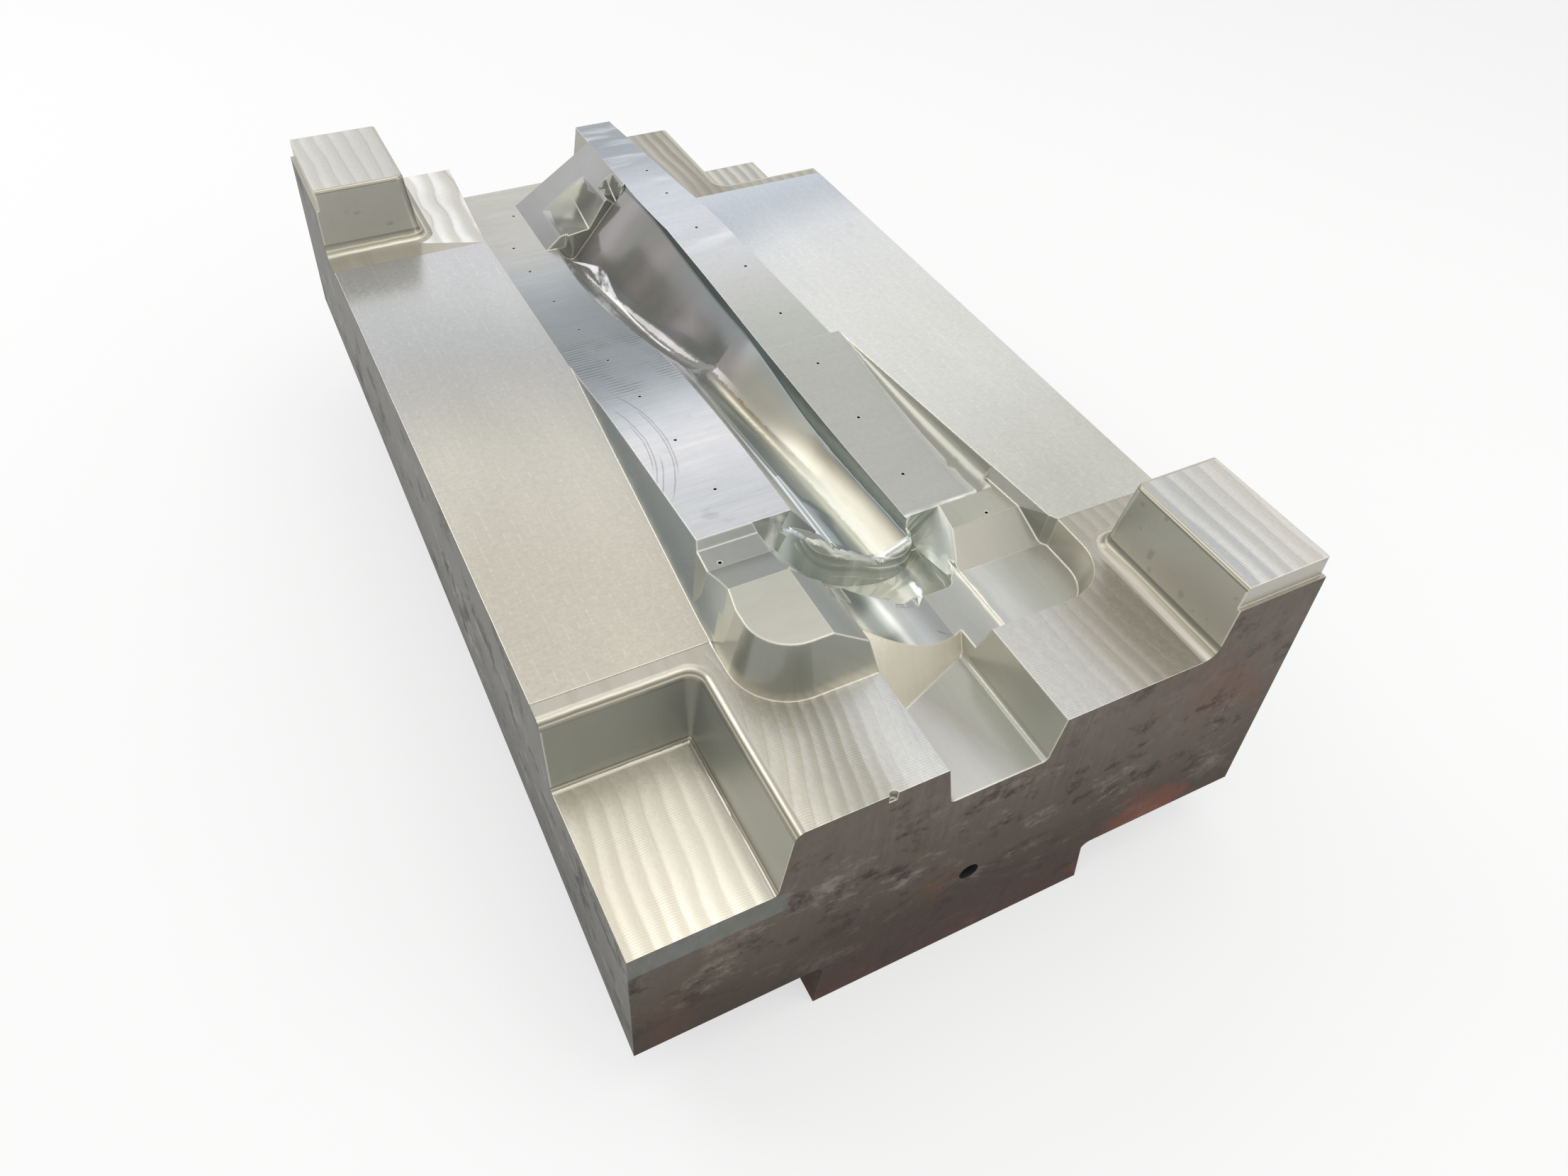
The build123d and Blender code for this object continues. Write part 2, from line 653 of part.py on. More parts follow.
def mould_block():
    """The whole block, still in its drawing position."""
    block = with_pockets(with_heels(forging()))
    block += left_bank()
    block += right_ridge()
    block -= left_channel()
    for cutter in back_incline():
        block -= cutter
    sink, window = right_sink()
    block -= sink
    slide = runoff(window_front_y - over, land_end_y)
    block -= slide & window
    block -= slide & plan_box(-milled_step, cavity_lid_height)
    for cutter in trough():
        block -= cutter
    block -= cavity(front_stations) + bowl()
    block = fillet([e for e in block.edges() if lip_edge(e)], lip_radius)
    block -= cavity(back_stations)
    eye_x, eye_y, eye_z = eye_centre
    block -= Pos(eye_x, along(eye_y), eye_z) * Sphere(eye_radius)
    for x_left, x_right, length in facets:
        block -= incline_facet(x_left, x_right, incline_front_y + length)
    block -= bench_facet()
    for front_y, floor in notches:
        block -= notch(front_y, floor)
    for drill in gauge_holes():
        block -= drill
    block -= Pos(lifting_hole_x, 0, -lifting_hole_depth_below_plane) * Rot(90, 0, 0) * Cylinder(
        lifting_hole_diameter / 2, 2 * lifting_hole_length)
    block -= hole(edge_hole_x, 0, 0, edge_hole_diameter, edge_hole_depth)
    return block


os.makedirs("parts", exist_ok=True)
base_height = block_depth + foot_depth
finished = Pos(0, -block_length / 2, base_height) * mould_block()
finished.label = "mould_block"
export_step(finished, "parts/mould_block.step")
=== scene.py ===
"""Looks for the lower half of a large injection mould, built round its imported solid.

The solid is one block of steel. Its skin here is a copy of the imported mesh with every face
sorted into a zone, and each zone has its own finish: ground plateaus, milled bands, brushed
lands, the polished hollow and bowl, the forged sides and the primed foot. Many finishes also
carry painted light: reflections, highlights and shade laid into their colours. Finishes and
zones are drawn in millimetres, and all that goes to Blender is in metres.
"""

import logging
import math
from dataclasses import dataclass
from enum import Enum
from typing import Protocol

import bpy
import numpy as np
from mathutils import Matrix, Vector

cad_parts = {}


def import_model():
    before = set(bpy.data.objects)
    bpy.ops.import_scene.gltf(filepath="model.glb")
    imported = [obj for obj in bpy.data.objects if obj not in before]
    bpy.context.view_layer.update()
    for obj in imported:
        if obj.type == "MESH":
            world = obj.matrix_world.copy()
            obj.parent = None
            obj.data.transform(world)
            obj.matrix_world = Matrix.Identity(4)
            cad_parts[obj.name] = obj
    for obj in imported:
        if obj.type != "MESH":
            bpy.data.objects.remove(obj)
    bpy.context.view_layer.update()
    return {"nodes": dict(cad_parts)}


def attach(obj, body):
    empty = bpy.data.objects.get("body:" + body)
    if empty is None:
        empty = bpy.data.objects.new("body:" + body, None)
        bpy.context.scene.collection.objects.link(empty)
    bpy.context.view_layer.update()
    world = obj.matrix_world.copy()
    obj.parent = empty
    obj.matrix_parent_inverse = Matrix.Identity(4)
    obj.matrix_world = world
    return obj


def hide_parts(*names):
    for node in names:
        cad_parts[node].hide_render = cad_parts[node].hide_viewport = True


log = logging.getLogger("mould")

NODE_NAME = "mould_block"

# Finishes are drawn in the block's own millimetres: X from its middle line, Y from its front face
# and Z from its parting plane. These numbers lead there from the frame.
MILLIMETRES = 1000.0
HALF_LENGTH = 475.0
PARTING_HEIGHT = 259.0

# How far the milled zones reach along the block from its front end and from its back end
FRONT_MILLED = 171.5
BACK_MILLED = 2 * HALF_LENGTH - FRONT_MILLED

PHOTO_SIZE = (2212, 1659)
WHITE = (1.0, 1.0, 1.0, 1.0)

Colour = tuple[float, float, float]
Direction = tuple[float, float, float]
Span = tuple[float, float]
Line = tuple[tuple[float, float], ...]
Stops = tuple[tuple[float, Colour], ...]

# How far an area reaches across the block, and how far along it
Plan = tuple[Span, Span]

ACROSS: Direction = (1.0, 0.0, 0.0)
ALONG: Direction = (0.0, 1.0, 0.0)
UPWARDS: Direction = (0.0, 0.0, 1.0)


class Signal:
    """A number, vector or colour on its way through a node tree, with Python's operators."""

    def __init__(self, tree: "Tree", socket: bpy.types.NodeSocket) -> None:
        """Keeps the tree and the socket that the signal comes from."""
        self.tree = tree
        self.socket = socket

    def math(self, operation: str, *others: "Signal | float", clamp: bool = False) -> "Signal":
        """Adds a Math node.

        Args:
            operation: The Math node's operation.
            others: The further operands.
            clamp: Whether the result is held between 0 and 1.

        Returns:
            The result as a new signal.
        """
        settings = {"operation": operation, "use_clamp": clamp}
        return self.tree.node("ShaderNodeMath", settings, [self, *others])

    def __add__(self, other: "Signal | float") -> "Signal":
        """The sum."""
        return self.math("ADD", other)

    def __radd__(self, other: float) -> "Signal":
        """The sum, with a number first."""
        return self.math("ADD", other)

    def __sub__(self, other: "Signal | float") -> "Signal":
        """The difference."""
        return self.math("SUBTRACT", other)

    def __rsub__(self, other: float) -> "Signal":
        """A number less the signal."""
        return self.tree.node("ShaderNodeMath", {"operation": "SUBTRACT"}, [other, self])

    def __mul__(self, other: "Signal | float") -> "Signal":
        """The product."""
        return self.math("MULTIPLY", other)

    def __rmul__(self, other: float) -> "Signal":
        """The product, with a number first."""
        return self.math("MULTIPLY", other)

    def __truediv__(self, other: "Signal | float") -> "Signal":
        """The quotient."""
        return self.math("DIVIDE", other)

    def clamp(self) -> "Signal":
        """The signal held between 0 and 1."""
        return self.math("ADD", 0.0, clamp=True)

    def ramp(self, low: float, high: float) -> "Signal":
        """An eased step from 0 where the signal is low to 1 where it is high."""
        settings = {"interpolation_type": "SMOOTHSTEP"}
        return self.tree.node("ShaderNodeMapRange", settings, [self, low, high, 0.0, 1.0])

    def wave(self) -> "Signal":
        """A sine of the signal, moved to between 0 and 1."""
        return self.math("SINE") * 0.5 + 0.5


class Tree:
    """A node tree, and the one way in which this file adds nodes to it."""

    def __init__(self, tree: bpy.types.NodeTree) -> None:
        """Keeps a tree and empties it."""
        self.tree = tree
        self.tree.nodes.clear()

    def add(self, kind: str, settings: dict, inputs: list | dict) -> bpy.types.Node:
        """Adds one node.

        Args:
            kind: The node's type name.
            settings: Properties that are set before the inputs. A function fills in what it gets.
            inputs: Values or signals, in the order of the sockets or by socket name. None is left out.

        Returns:
            The new node.
        """
        made = self.tree.nodes.new(kind)
        for key, value in settings.items():
            if callable(value):
                value(getattr(made, key))
            else:
                setattr(made, key, value)
        pairs = inputs.items() if isinstance(inputs, dict) else enumerate(inputs)
        for key, value in pairs:
            if isinstance(value, Signal):
                self.tree.links.new(value.socket, made.inputs[key])
            elif value is not None:
                made.inputs[key].default_value = value
        return made

    def node(self, kind: str, settings: dict, inputs: list | dict, output: int | str = 0) -> Signal:
        """Adds one node and gives one of its outputs.

        Args:
            kind: The node's type name.
            settings: Properties that are set before the inputs.
            inputs: Values or signals, in the order of the sockets or by socket name.
            output: The output that the result comes from.

        Returns:
            The chosen output as a signal.
        """
        return Signal(self, self.add(kind, settings, inputs).outputs[output])


class Board(Tree):
    """A material's node tree, with the few patterns that the finishes are made of."""

    def __init__(self, name: str) -> None:
        """Starts an empty material.

        Args:
            name: The material's name.
        """
        self.material = bpy.data.materials.new(name)
        self.material.use_nodes = True
        super().__init__(self.material.node_tree)
        spot = self.add("ShaderNodeTexCoord", {}, [])
        self.place = Signal(self, spot.outputs["Object"])
        self.facing = Signal(self, spot.outputs["Normal"])
        x, y, z = self.split(self.place)
        self.x = x * MILLIMETRES
        self.y = y * MILLIMETRES + HALF_LENGTH
        self.z = z * MILLIMETRES - PARTING_HEIGHT

    def split(self, vector: Signal) -> tuple[Signal, Signal, Signal]:
        """The three parts of a vector."""
        parts = self.add("ShaderNodeSeparateXYZ", {}, [vector])
        return tuple(Signal(self, part) for part in parts.outputs)

    def noise(self, scale: float, detail: float = 2.0, stretch: Direction = (1.0, 1.0, 1.0),
              turn: float = 0.0, seed: float = 0.0, rough: float = 0.5) -> Signal:
        """Smooth noise over the block.

        Args:
            scale: Grains per metre.
            detail: How many finer layers are added.
            stretch: How much denser the grain is along each axis.
            turn: How far the grain is turned round Z, in degrees.
            seed: Moves the pattern to another place.
            rough: How strong the finer layers are.

        Returns:
            Noise between 0 and 1.
        """
        spot = self.node("ShaderNodeMapping", {"vector_type": "POINT"}, {
            "Vector": self.place, "Location": (seed * 3.1, seed * 1.7, seed * 2.3),
            "Rotation": (0.0, 0.0, math.radians(turn)), "Scale": stretch})
        return self.node("ShaderNodeTexNoise", {"noise_dimensions": "3D"}, {
            "Vector": spot, "Scale": scale, "Detail": detail, "Roughness": rough})

    def mix(self, share: Signal | float, first: Signal | Colour, second: Signal | Colour) -> Signal:
        """A mix of two colours.

        Args:
            share: How much of the second shows.
            first: The first colour.
            second: The second colour.

        Returns:
            The mixed colour.
        """
        def colour(value: Signal | Colour) -> Signal | tuple[float, float, float, float]:
            """A colour with its alpha."""
            return value if isinstance(value, Signal) else (*value, 1.0)
        settings = {"data_type": "RGBA", "clamp_factor": True}
        return self.node("ShaderNodeMix", settings, {0: share, 6: colour(first), 7: colour(second)}, 2)

    def scale(self, colour: Signal | Colour, light: Signal) -> Signal:
        """A colour made lighter or darker by a number."""
        return self.node("ShaderNodeVectorMath", {"operation": "SCALE"}, {0: colour, "Scale": light})

    def nothing(self) -> Signal:
        """A signal that is 0 everywhere."""
        return self.x * 0.0

    def between(self, place: Signal, start: Signal, end: Signal) -> Signal:
        """Where a place lies between two moving lines, from 0 to 1."""
        settings = {"interpolation_type": "LINEAR"}
        return self.node("ShaderNodeMapRange", settings, [place, start, end, 0.0, 1.0])

    def shade(self, place: Signal, stops: Stops) -> Signal:
        """A colour that changes from stop to stop.

        Args:
            place: The number that the stops are set along.
            stops: Places and colours, in rising order.

        Returns:
            The colour.
        """
        low, high = stops[0][0], stops[-1][0]

        def fill(ramp: bpy.types.ColorRamp) -> None:
            """Sets the stops.

            Args:
                ramp: The node's ramp.
            """
            ramp.interpolation = "CARDINAL"
            ramp.elements[0].color = (*stops[0][1], 1.0)
            ramp.elements[1].color = (*stops[-1][1], 1.0)
            for at, colour in stops[1:-1]:
                ramp.elements.new((at - low) / (high - low)).color = (*colour, 1.0)

        share = (place - low) * (1.0 / (high - low))
        return self.node("ShaderNodeValToRGB", {"color_ramp": fill}, [share], "Color")

    def curve(self, place: Signal, points: Line) -> Signal:
        """A number that follows a line through points.

        Args:
            place: The number that the points are set along.
            points: Places and values, in rising order of place.

        Returns:
            The value.
        """
        places, values = zip(*points)
        low, high = min(values), max(values)
        start, reach = places[0], places[-1] - places[0]

        def fill(mapping: bpy.types.CurveMapping) -> None:
            """Sets the points.

            Args:
                mapping: The node's curve.
            """
            line = mapping.curves[0].points
            line[0].location = (0.0, (values[0] - low) / (high - low))
            line[1].location = (1.0, (values[-1] - low) / (high - low))
            for at, value in points[1:-1]:
                line.new((at - start) / reach, (value - low) / (high - low))
            for point in line:
                point.handle_type = "AUTO"
            mapping.update()

        share = ((place - start) * (1.0 / reach)).clamp()
        height = self.node("ShaderNodeFloatCurve", {"mapping": fill}, {"Value": share})
        return height * (high - low) + low

    def edge(self, radius: float, reach: float) -> tuple[Signal, Signal]:
        """The rounding that every machined edge has.

        Args:
            radius: The radius over which an edge is rounded.
            reach: How flat a bend may be and still count, as the cosine of its half angle.

        Returns:
            The rounded normal, and a mask that is 1 on the edges.
        """
        rounded = self.node("ShaderNodeBevel", {"samples": 6}, {"Radius": radius})
        true = self.node("ShaderNodeNewGeometry", {}, [], "Normal")
        dot = self.node("ShaderNodeVectorMath", {"operation": "DOT_PRODUCT"}, [rounded, true], "Value")
        unbent = 0.998
        return rounded, dot.ramp(unbent, reach)

    def finish(self, colour: Signal, roughness: Signal | float, metallic: Signal | float,
               normal: Signal | None = None, specular: float = 0.5) -> bpy.types.Material:
        """Closes the tree with one Principled shader.

        Args:
            colour: The base colour.
            roughness: The roughness.
            metallic: How metallic the surface is.
            normal: The shading normal, or none.
            specular: The specular level.

        Returns:
            The finished material.
        """
        shader = self.node("ShaderNodeBsdfPrincipled", {}, {
            "Base Color": colour, "Roughness": roughness, "Metallic": metallic, "Normal": normal,
            "Specular IOR Level": specular})
        return self.close(shader)

    def close(self, shader: Signal) -> bpy.types.Material:
        """Leads a shader to the output and gives the finished material."""
        self.add("ShaderNodeOutputMaterial", {}, {"Surface": shader})
        return self.material

    def bump(self, height: Signal, distance: float, normal: Signal | None = None) -> Signal:
        """A normal that follows a height, in metres when the height runs from 0 to 1."""
        inputs = {"Strength": 1.0, "Distance": distance, "Height": height, "Normal": normal}
        return self.node("ShaderNodeBump", {}, inputs)


def tone(red: float, green: float, blue: float) -> Colour:
    """Turns a colour as the eye reads it, from 0 to 255, into the renderer's light values.

    Args:
        red: The red part.
        green: The green part.
        blue: The blue part.

    Returns:
        The colour as light.
    """
    def light(value: float) -> float:
        """One channel as light."""
        share = value / 255.0
        return share / 12.92 if share <= 0.04045 else ((share + 0.055) / 1.055) ** 2.4
    return light(red), light(green), light(blue)


def blend(*stops: tuple[float, int, int, int]) -> Stops:
    """Stops from places and colours as the eye reads them."""
    return tuple((at, tone(red, green, blue)) for at, red, green, blue in stops)


class Zone(Enum):
    """The kinds of surface on the block, each with its place in the skin's material slots."""

    LEFT_PLATEAU = 0
    RIGHT_PLATEAU = 1
    POCKET_FLOOR = 2
    HEEL_TOP = 3
    LEFT_MILLED = 4
    RIGHT_MILLED = 5
    LEFT_LAND = 6
    RIGHT_LAND = 7
    PAD = 8
    BENCH = 9
    STEP = 10
    BASIN = 11
    POCKET_WALL = 12
    HEEL_WALL = 13
    PAD_WALL = 14
    SINK_WALL = 15
    END_WALL = 16
    ROUNDED = 17
    HOLLOW = 18
    BOWL = 19
    RUNOFF = 20
    INCLINE = 21
    FACET = 22
    TROUGH = 23
    LEANING = 24
    SIDE = 25
    FRONT = 26
    UNDER = 27
    FOOT = 28
    BORE = 29
    BANK = 30
    CHANNEL = 31
    BACK_MILLED = 32


class Finish(Protocol):
    """What every finish can do."""

    def material(self) -> bpy.types.Material:
        """Builds the finish."""


@dataclass(frozen=True)
class Edges:
    """A bright line along every machined edge: partly worn steel, partly a painted highlight of the rounded
    edge.
    """

    radius: float = 0.0009
    strength: float = 0.7
    colour: Colour = tone(236, 234, 224)
    reach: float = 0.86

    def on(self, board: Board, colour: Signal) -> tuple[Signal, Signal]:
        """Lays the line over a finish.

        Args:
            board: The material's board.
            colour: The colour of the finish.

        Returns:
            The colour and the rounded normal.
        """
        rounded, mask = board.edge(self.radius, self.reach)
        return board.mix(mask * self.strength, colour, self.colour), rounded


# Wide cream lines on rounded rims and fillets: a painted highlight of the roll.
ROLLED = Edges(0.0024, 0.75, tone(238, 234, 216), 0.93)


@dataclass(frozen=True)
class GroundSteel:
    """A plateau: fine face-milled steel with a woven speckle and faint rows of dashes."""

    name: str
    tones: Stops
    slant: float = 0.0
    row: float = 10.5
    rough: float = 0.30

    def material(self) -> bpy.types.Material:
        """Builds the finish.

        Returns:
            The material.
        """
        board = Board(self.name)
        # The tone along the plateau, slanted across it and shifted by slow noise, is a painted reflection:
        # broad light and dark bands.
        soft = board.noise(3.2, 2.0, (1.0, 0.6, 1.0), turn=24.0, seed=1.0)
        base = board.shade(board.y + board.x * self.slant + (soft - 0.5) * 150.0, self.tones)
        # This noise is partly a painted sheen in broad diagonal bands; it also varies the roughness.
        smear_and_sheen = board.noise(16.0, 3.0, (1.0, 0.25, 1.0), turn=20.0, seed=2.5)
        smudge = board.noise(26.0, 3.0, (1.0, 0.5, 1.0), turn=60.0, seed=6.5)
        rows = (board.x * (1.0 / self.row) + board.noise(6.0, 1.0) * 0.5).math("FRACT")
        line = 1.0 - rows.ramp(0.0, 0.14)
        dash = board.noise(260.0, 1.0, (0.6, 0.8, 1.0), turn=30.0)
        weave = board.noise(460.0, 2.0, (0.35, 1.0, 1.0), turn=-30.0, seed=2.0)
        cross = board.noise(520.0, 1.0, (1.0, 0.35, 1.0), turn=34.0, seed=3.0)
        light = 1.0 + (weave - 0.5) * 0.16 + (cross - 0.5) * 0.12 + (smear_and_sheen - 0.5) * 0.16
        light = light + line * (dash - 0.42) * 0.60 - smudge.ramp(0.66, 0.78) * 0.07
        colour, rounded = Edges().on(board, board.scale(base, light))
        rough = self.rough + (weave - 0.5) * 0.18 + (smear_and_sheen - 0.5) * 0.10
        normal = board.bump(weave * 0.5 + cross * 0.5, 0.00003, rounded)
        return board.finish(colour, rough, 0.85, normal)


@dataclass(frozen=True)
class CutterBands:
    """A floor cut in long bands by a round cutter: bright crests and dark grooves, both painted light, fine
    cross ripples, curled ends.
    """

    name: str
    tones: Stops
    # The colour of the painted highlight on the crests, and of the painted shade in the grooves
    light: Colour
    dark: Colour
    band: float = 13.5
    sway: float = 0.5
    fan: float = 0.0
    curl_from: float = 1000.0
    strength: float = 0.8
    ripple: float = 2.1
    seed: float = 0.0

    def material(self) -> bpy.types.Material:
        """Builds the finish.

        Returns:
            The material.
        """
        board = Board(self.name)
        drift = board.noise(7.0, 2.0, (1.0, 0.7, 1.0), seed=self.seed + 1.0) - 0.5
        jitter = board.noise(30.0, 2.0, (1.0, 0.6, 1.0), seed=self.seed + 2.0) - 0.5
        front = board.y.math("MINIMUM", FRONT_MILLED)
        curl = (front - self.curl_from).math("MAXIMUM", 0.0) * 0.02
        phase = board.x * (1.0 / self.band) * (front * self.fan + 1.0) + drift * (2.0 * self.sway)
        phase = phase + jitter * 0.35 + curl * curl
        share = phase.math("FRACT")
        crest = share.ramp(0.0, 0.22) * (1.0 - share.ramp(0.26, 0.85))
        groove = 1.0 - share.ramp(0.0, 0.10) * (1.0 - share.ramp(0.93, 1.0))
        uneven = board.noise(9.0, 3.0, (1.0, 0.55, 1.0), seed=self.seed + 3.0)
        arc = (share - 0.5) * (share - 0.5) * 9.0
        ripples = (board.y * (2 * math.pi / self.ripple) + arc + jitter * 5.0).wave()
        patches = board.noise(22.0, 2.0, seed=self.seed + 4.0).ramp(0.35, 0.65)
        base = board.shade(board.x + drift * 40.0, self.tones)
        # Painted highlight on the crests, and painted shade in the grooves.
        amount = crest * (0.35 + uneven.ramp(0.3, 0.7) * 0.65) * self.strength
        colour = board.mix(amount.clamp(), base, self.light)
        colour = board.mix(groove * uneven.ramp(0.62, 0.35) * (0.55 * self.strength), colour, self.dark)
        grain = board.noise(420.0, 2.0, (1.0, 0.6, 1.0))
        light = 1.0 + (ripples - 0.5) * patches * 0.13 + (grain - 0.5) * 0.16
        colour, rounded = Edges().on(board, board.scale(colour, light))
        rough = 0.32 - crest * 0.06 + (grain - 0.5) * 0.12
        height = (share * (2 * math.pi)).wave() * 0.4 + ripples * patches * 0.12
        normal = board.bump(height, 0.00010, rounded)
        return board.finish(colour, rough, 0.85, normal)


@dataclass(frozen=True)
class LeftLand:
    """The left shut-off land: brushed across, with dark cutter lines and a few curved scratches."""

    name: str = "left_land"
    # The tones along the land are a painted reflection: light at the front, dark in the middle, lighter
    # again at the back.
    tones: Stops = blend(
        (238.0, 203, 205, 208), (310.0, 208, 210, 214), (370.0, 224, 224, 227),
        (425.0, 198, 202, 207), (480.0, 158, 164, 169), (540.0, 140, 146, 150),
        (640.0, 144, 150, 154), (720.0, 170, 175, 178), (790.0, 190, 190, 188),
        (950.0, 196, 195, 187))
    scratch_centre: tuple[float, float] = (-271.0, 390.0)
    # Each scratch is an arc: its radius, and where it starts and ends along the block
    scratches: tuple[tuple[float, float, float], ...] = (
        (183.0, 330.0, 450.0), (180.4, 300.0, 420.0), (166.0, 320.0, 430.0), (163.2, 345.0, 400.0),
        (171.0, 290.0, 345.0))

    def material(self) -> bpy.types.Material:
        """Builds the finish.

        Returns:
            The material.
        """
        board = Board(self.name)
        cloud = board.noise(7.0, 3.0, (1.0, 0.6, 1.0), seed=4.0)
        base = board.shade(board.y + (cloud - 0.5) * 90.0, self.tones)
        brushed = board.noise(30.0, 4.0, (0.5, 3.2, 1.0), seed=5.0, rough=0.7)
        fine = board.noise(60.0, 3.0, (0.35, 14.0, 1.0), seed=5.5, rough=0.75)
        grain = board.noise(600.0, 1.0, (0.6, 1.0, 1.0), seed=6.0)
        cut = board.y.ramp(440.0, 470.0) * (1.0 - board.y.ramp(560.0, 610.0))
        lines = (board.y * (2 * math.pi / 5.2) + brushed * 5.0).wave().ramp(0.62, 0.95)
        lines = lines * cut * board.noise(24.0, 3.0, (1.0, 0.6, 1.0), seed=7.0).ramp(0.42, 0.6)
        off_x = board.x - self.scratch_centre[0]
        off_y = board.y - self.scratch_centre[1]
        away = (off_x * off_x + off_y * off_y).math("SQRT") + (board.noise(18.0, 2.0, seed=8.0) - 0.5) * 5.0
        marks = board.nothing()
        for radius, start, end in self.scratches:
            along = board.y.ramp(start - 14.0, start + 6.0) * (1.0 - board.y.ramp(end - 6.0, end + 14.0))
            marks = marks.math("MAXIMUM", (away - radius).math("ABSOLUTE").ramp(0.9, 0.2) * along)
        rub = board.noise(34.0, 3.0, (0.6, 1.0, 1.0), turn=30.0, seed=9.0).ramp(0.62, 0.75)
        rub = rub * (1.0 - board.y.ramp(400.0, 440.0))
        light = 1.0 + (brushed - 0.5) * 0.26 + (fine - 0.5) * 0.30 + (grain - 0.5) * 0.08
        light = light - lines * 0.42 - marks * 0.36 - rub * 0.20
        colour, rounded = Edges().on(board, board.scale(base, light))
        rough = 0.26 + (brushed - 0.5) * 0.2 + marks * 0.2
        normal = board.bump(fine - marks * 0.6, 0.00005, rounded)
        return board.finish(colour, rough, 0.85, normal)


@dataclass(frozen=True)
class RightLand:
    """The right shut-off land: satin at the front and bluish at the back, with painted reflections: its tone
    along the block, soft bright patches at the back and a white line on the roll at its front end.
    """

    name: str = "right_land"
    # The tones along the land are a painted reflection.
    tones: Stops = blend(
        (238.0, 176, 177, 170), (420.0, 178, 179, 173), (530.0, 187, 189, 184),
        (610.0, 202, 203, 203), (690.0, 209, 212, 217), (780.0, 201, 206, 214),
        (860.0, 164, 170, 177), (950.0, 160, 166, 172))

    def material(self) -> bpy.types.Material:
        """Builds the finish.

        Returns:
            The material.
        """
        board = Board(self.name)
        cloud = board.noise(6.0, 3.0, (1.0, 0.7, 1.0), seed=14.0)
        base = board.shade(board.y + (cloud - 0.5) * 110.0, self.tones)
        brushed = board.noise(26.0, 4.0, (0.6, 3.0, 1.0), seed=15.0, rough=0.65)
        weave = board.noise(420.0, 2.0, (0.5, 1.0, 1.0), turn=24.0, seed=16.0)
        back = board.y.ramp(600.0, 680.0)
        # Painted sheen: soft bright patches at the back.
        bright = board.noise(13.0, 4.0, (0.5, 2.4, 1.0), seed=17.0).ramp(0.54, 0.72) * back
        colour = board.mix(bright * 0.7, base, tone(236, 238, 242))
        # Painted highlight: a white line along the roll at the land's front end.
        roll_highlight = (board.y - 243.0).math("ABSOLUTE").ramp(5.5, 2.0) * brushed.ramp(0.3, 0.5)
        colour = board.mix(roll_highlight * 0.85, colour, tone(250, 251, 248))
        light = 1.0 + (brushed - 0.5) * (0.10 + back * 0.14) + (weave - 0.5) * 0.14
        colour, rounded = Edges().on(board, board.scale(colour, light))
        rough = 0.30 + (weave - 0.5) * 0.12 - back * 0.06
        normal = board.bump(weave, 0.00003, rounded)
        return board.finish(colour, rough, 0.85, normal)


@dataclass(frozen=True)
class ShadedSteel:
    """An even machined surface whose tone runs along one direction, with faint lines."""

    name: str
    tones: Stops
    along: Direction = ACROSS
    rough: float = 0.28
    grain: float = 0.10
    line_scale: float = 60.0
    lines: Direction = (1.0, 0.2, 0.2)
    drift: float = 12.0
    drift_scale: float = 14.0
    metallic: float = 0.5
    fleck: float = 0.0
    edges: Edges = ROLLED

    def material(self) -> bpy.types.Material:
        """Builds the finish.

        Returns:
            The material.
        """
        board = Board(self.name)
        drift = board.noise(self.drift_scale, 3.0, seed=21.0) - 0.5
        run = board.x * self.along[0] + board.y * self.along[1] + board.z * self.along[2]
        base = board.shade(run + drift * (2.0 * self.drift), self.tones)
        lines = board.noise(self.line_scale, 3.0, self.lines, seed=22.0, rough=0.65)
        grain = board.noise(480.0, 1.0, seed=23.0)
        light = 1.0 + (lines - 0.5) * (2.0 * self.grain) + (grain - 0.5) * 0.05
        if self.fleck > 0.0:
            spots = board.noise(85.0, 1.0, (0.5, 1.2, 1.0), turn=35.0, seed=24.0).ramp(0.68, 0.74)
            light = light - spots * self.fleck
        colour, rounded = self.edges.on(board, board.scale(base, light))
        rough = self.rough + (lines - 0.5) * 0.10
        normal = board.bump(lines, 0.00002, rounded)
        return board.finish(colour, rough, self.metallic, normal)


@dataclass(frozen=True)
class RolledBorder:
    """Rims and fillets: the tone follows how far the surface has turned from level, as painted reflections
    in light and dark bands.
    """

    name: str = "rolled_border"
    tones: Stops = blend((0.10, 130, 131, 122), (0.32, 140, 139, 128), (0.50, 166, 160, 140),
                    (0.58, 200, 195, 178), (0.66, 142, 137, 121), (0.78, 156, 151, 135),
                    (0.88, 206, 202, 188), (0.95, 176, 172, 158), (1.0, 188, 184, 172))

    def material(self) -> bpy.types.Material:
        """Builds the finish.

        Returns:
            The material.
        """
        board = Board(self.name)
        _, _, up = board.split(board.facing)
        streak = board.noise(55.0, 3.0, (1.0, 0.12, 1.0), seed=31.0, rough=0.6)
        patch = board.noise(12.0, 2.0, seed=32.0)
        # Painted reflections: light and dark bands set by how steep the surface is.
        base = board.shade(up + (streak - 0.5) * 0.10 + (patch - 0.5) * 0.12, self.tones)
        light = 1.0 + (streak - 0.5) * 0.14
        colour = board.scale(base, light)
        rough = 0.24 + (streak - 0.5) * 0.1
        return board.finish(colour, rough, 0.5, board.bump(streak, 0.00002))


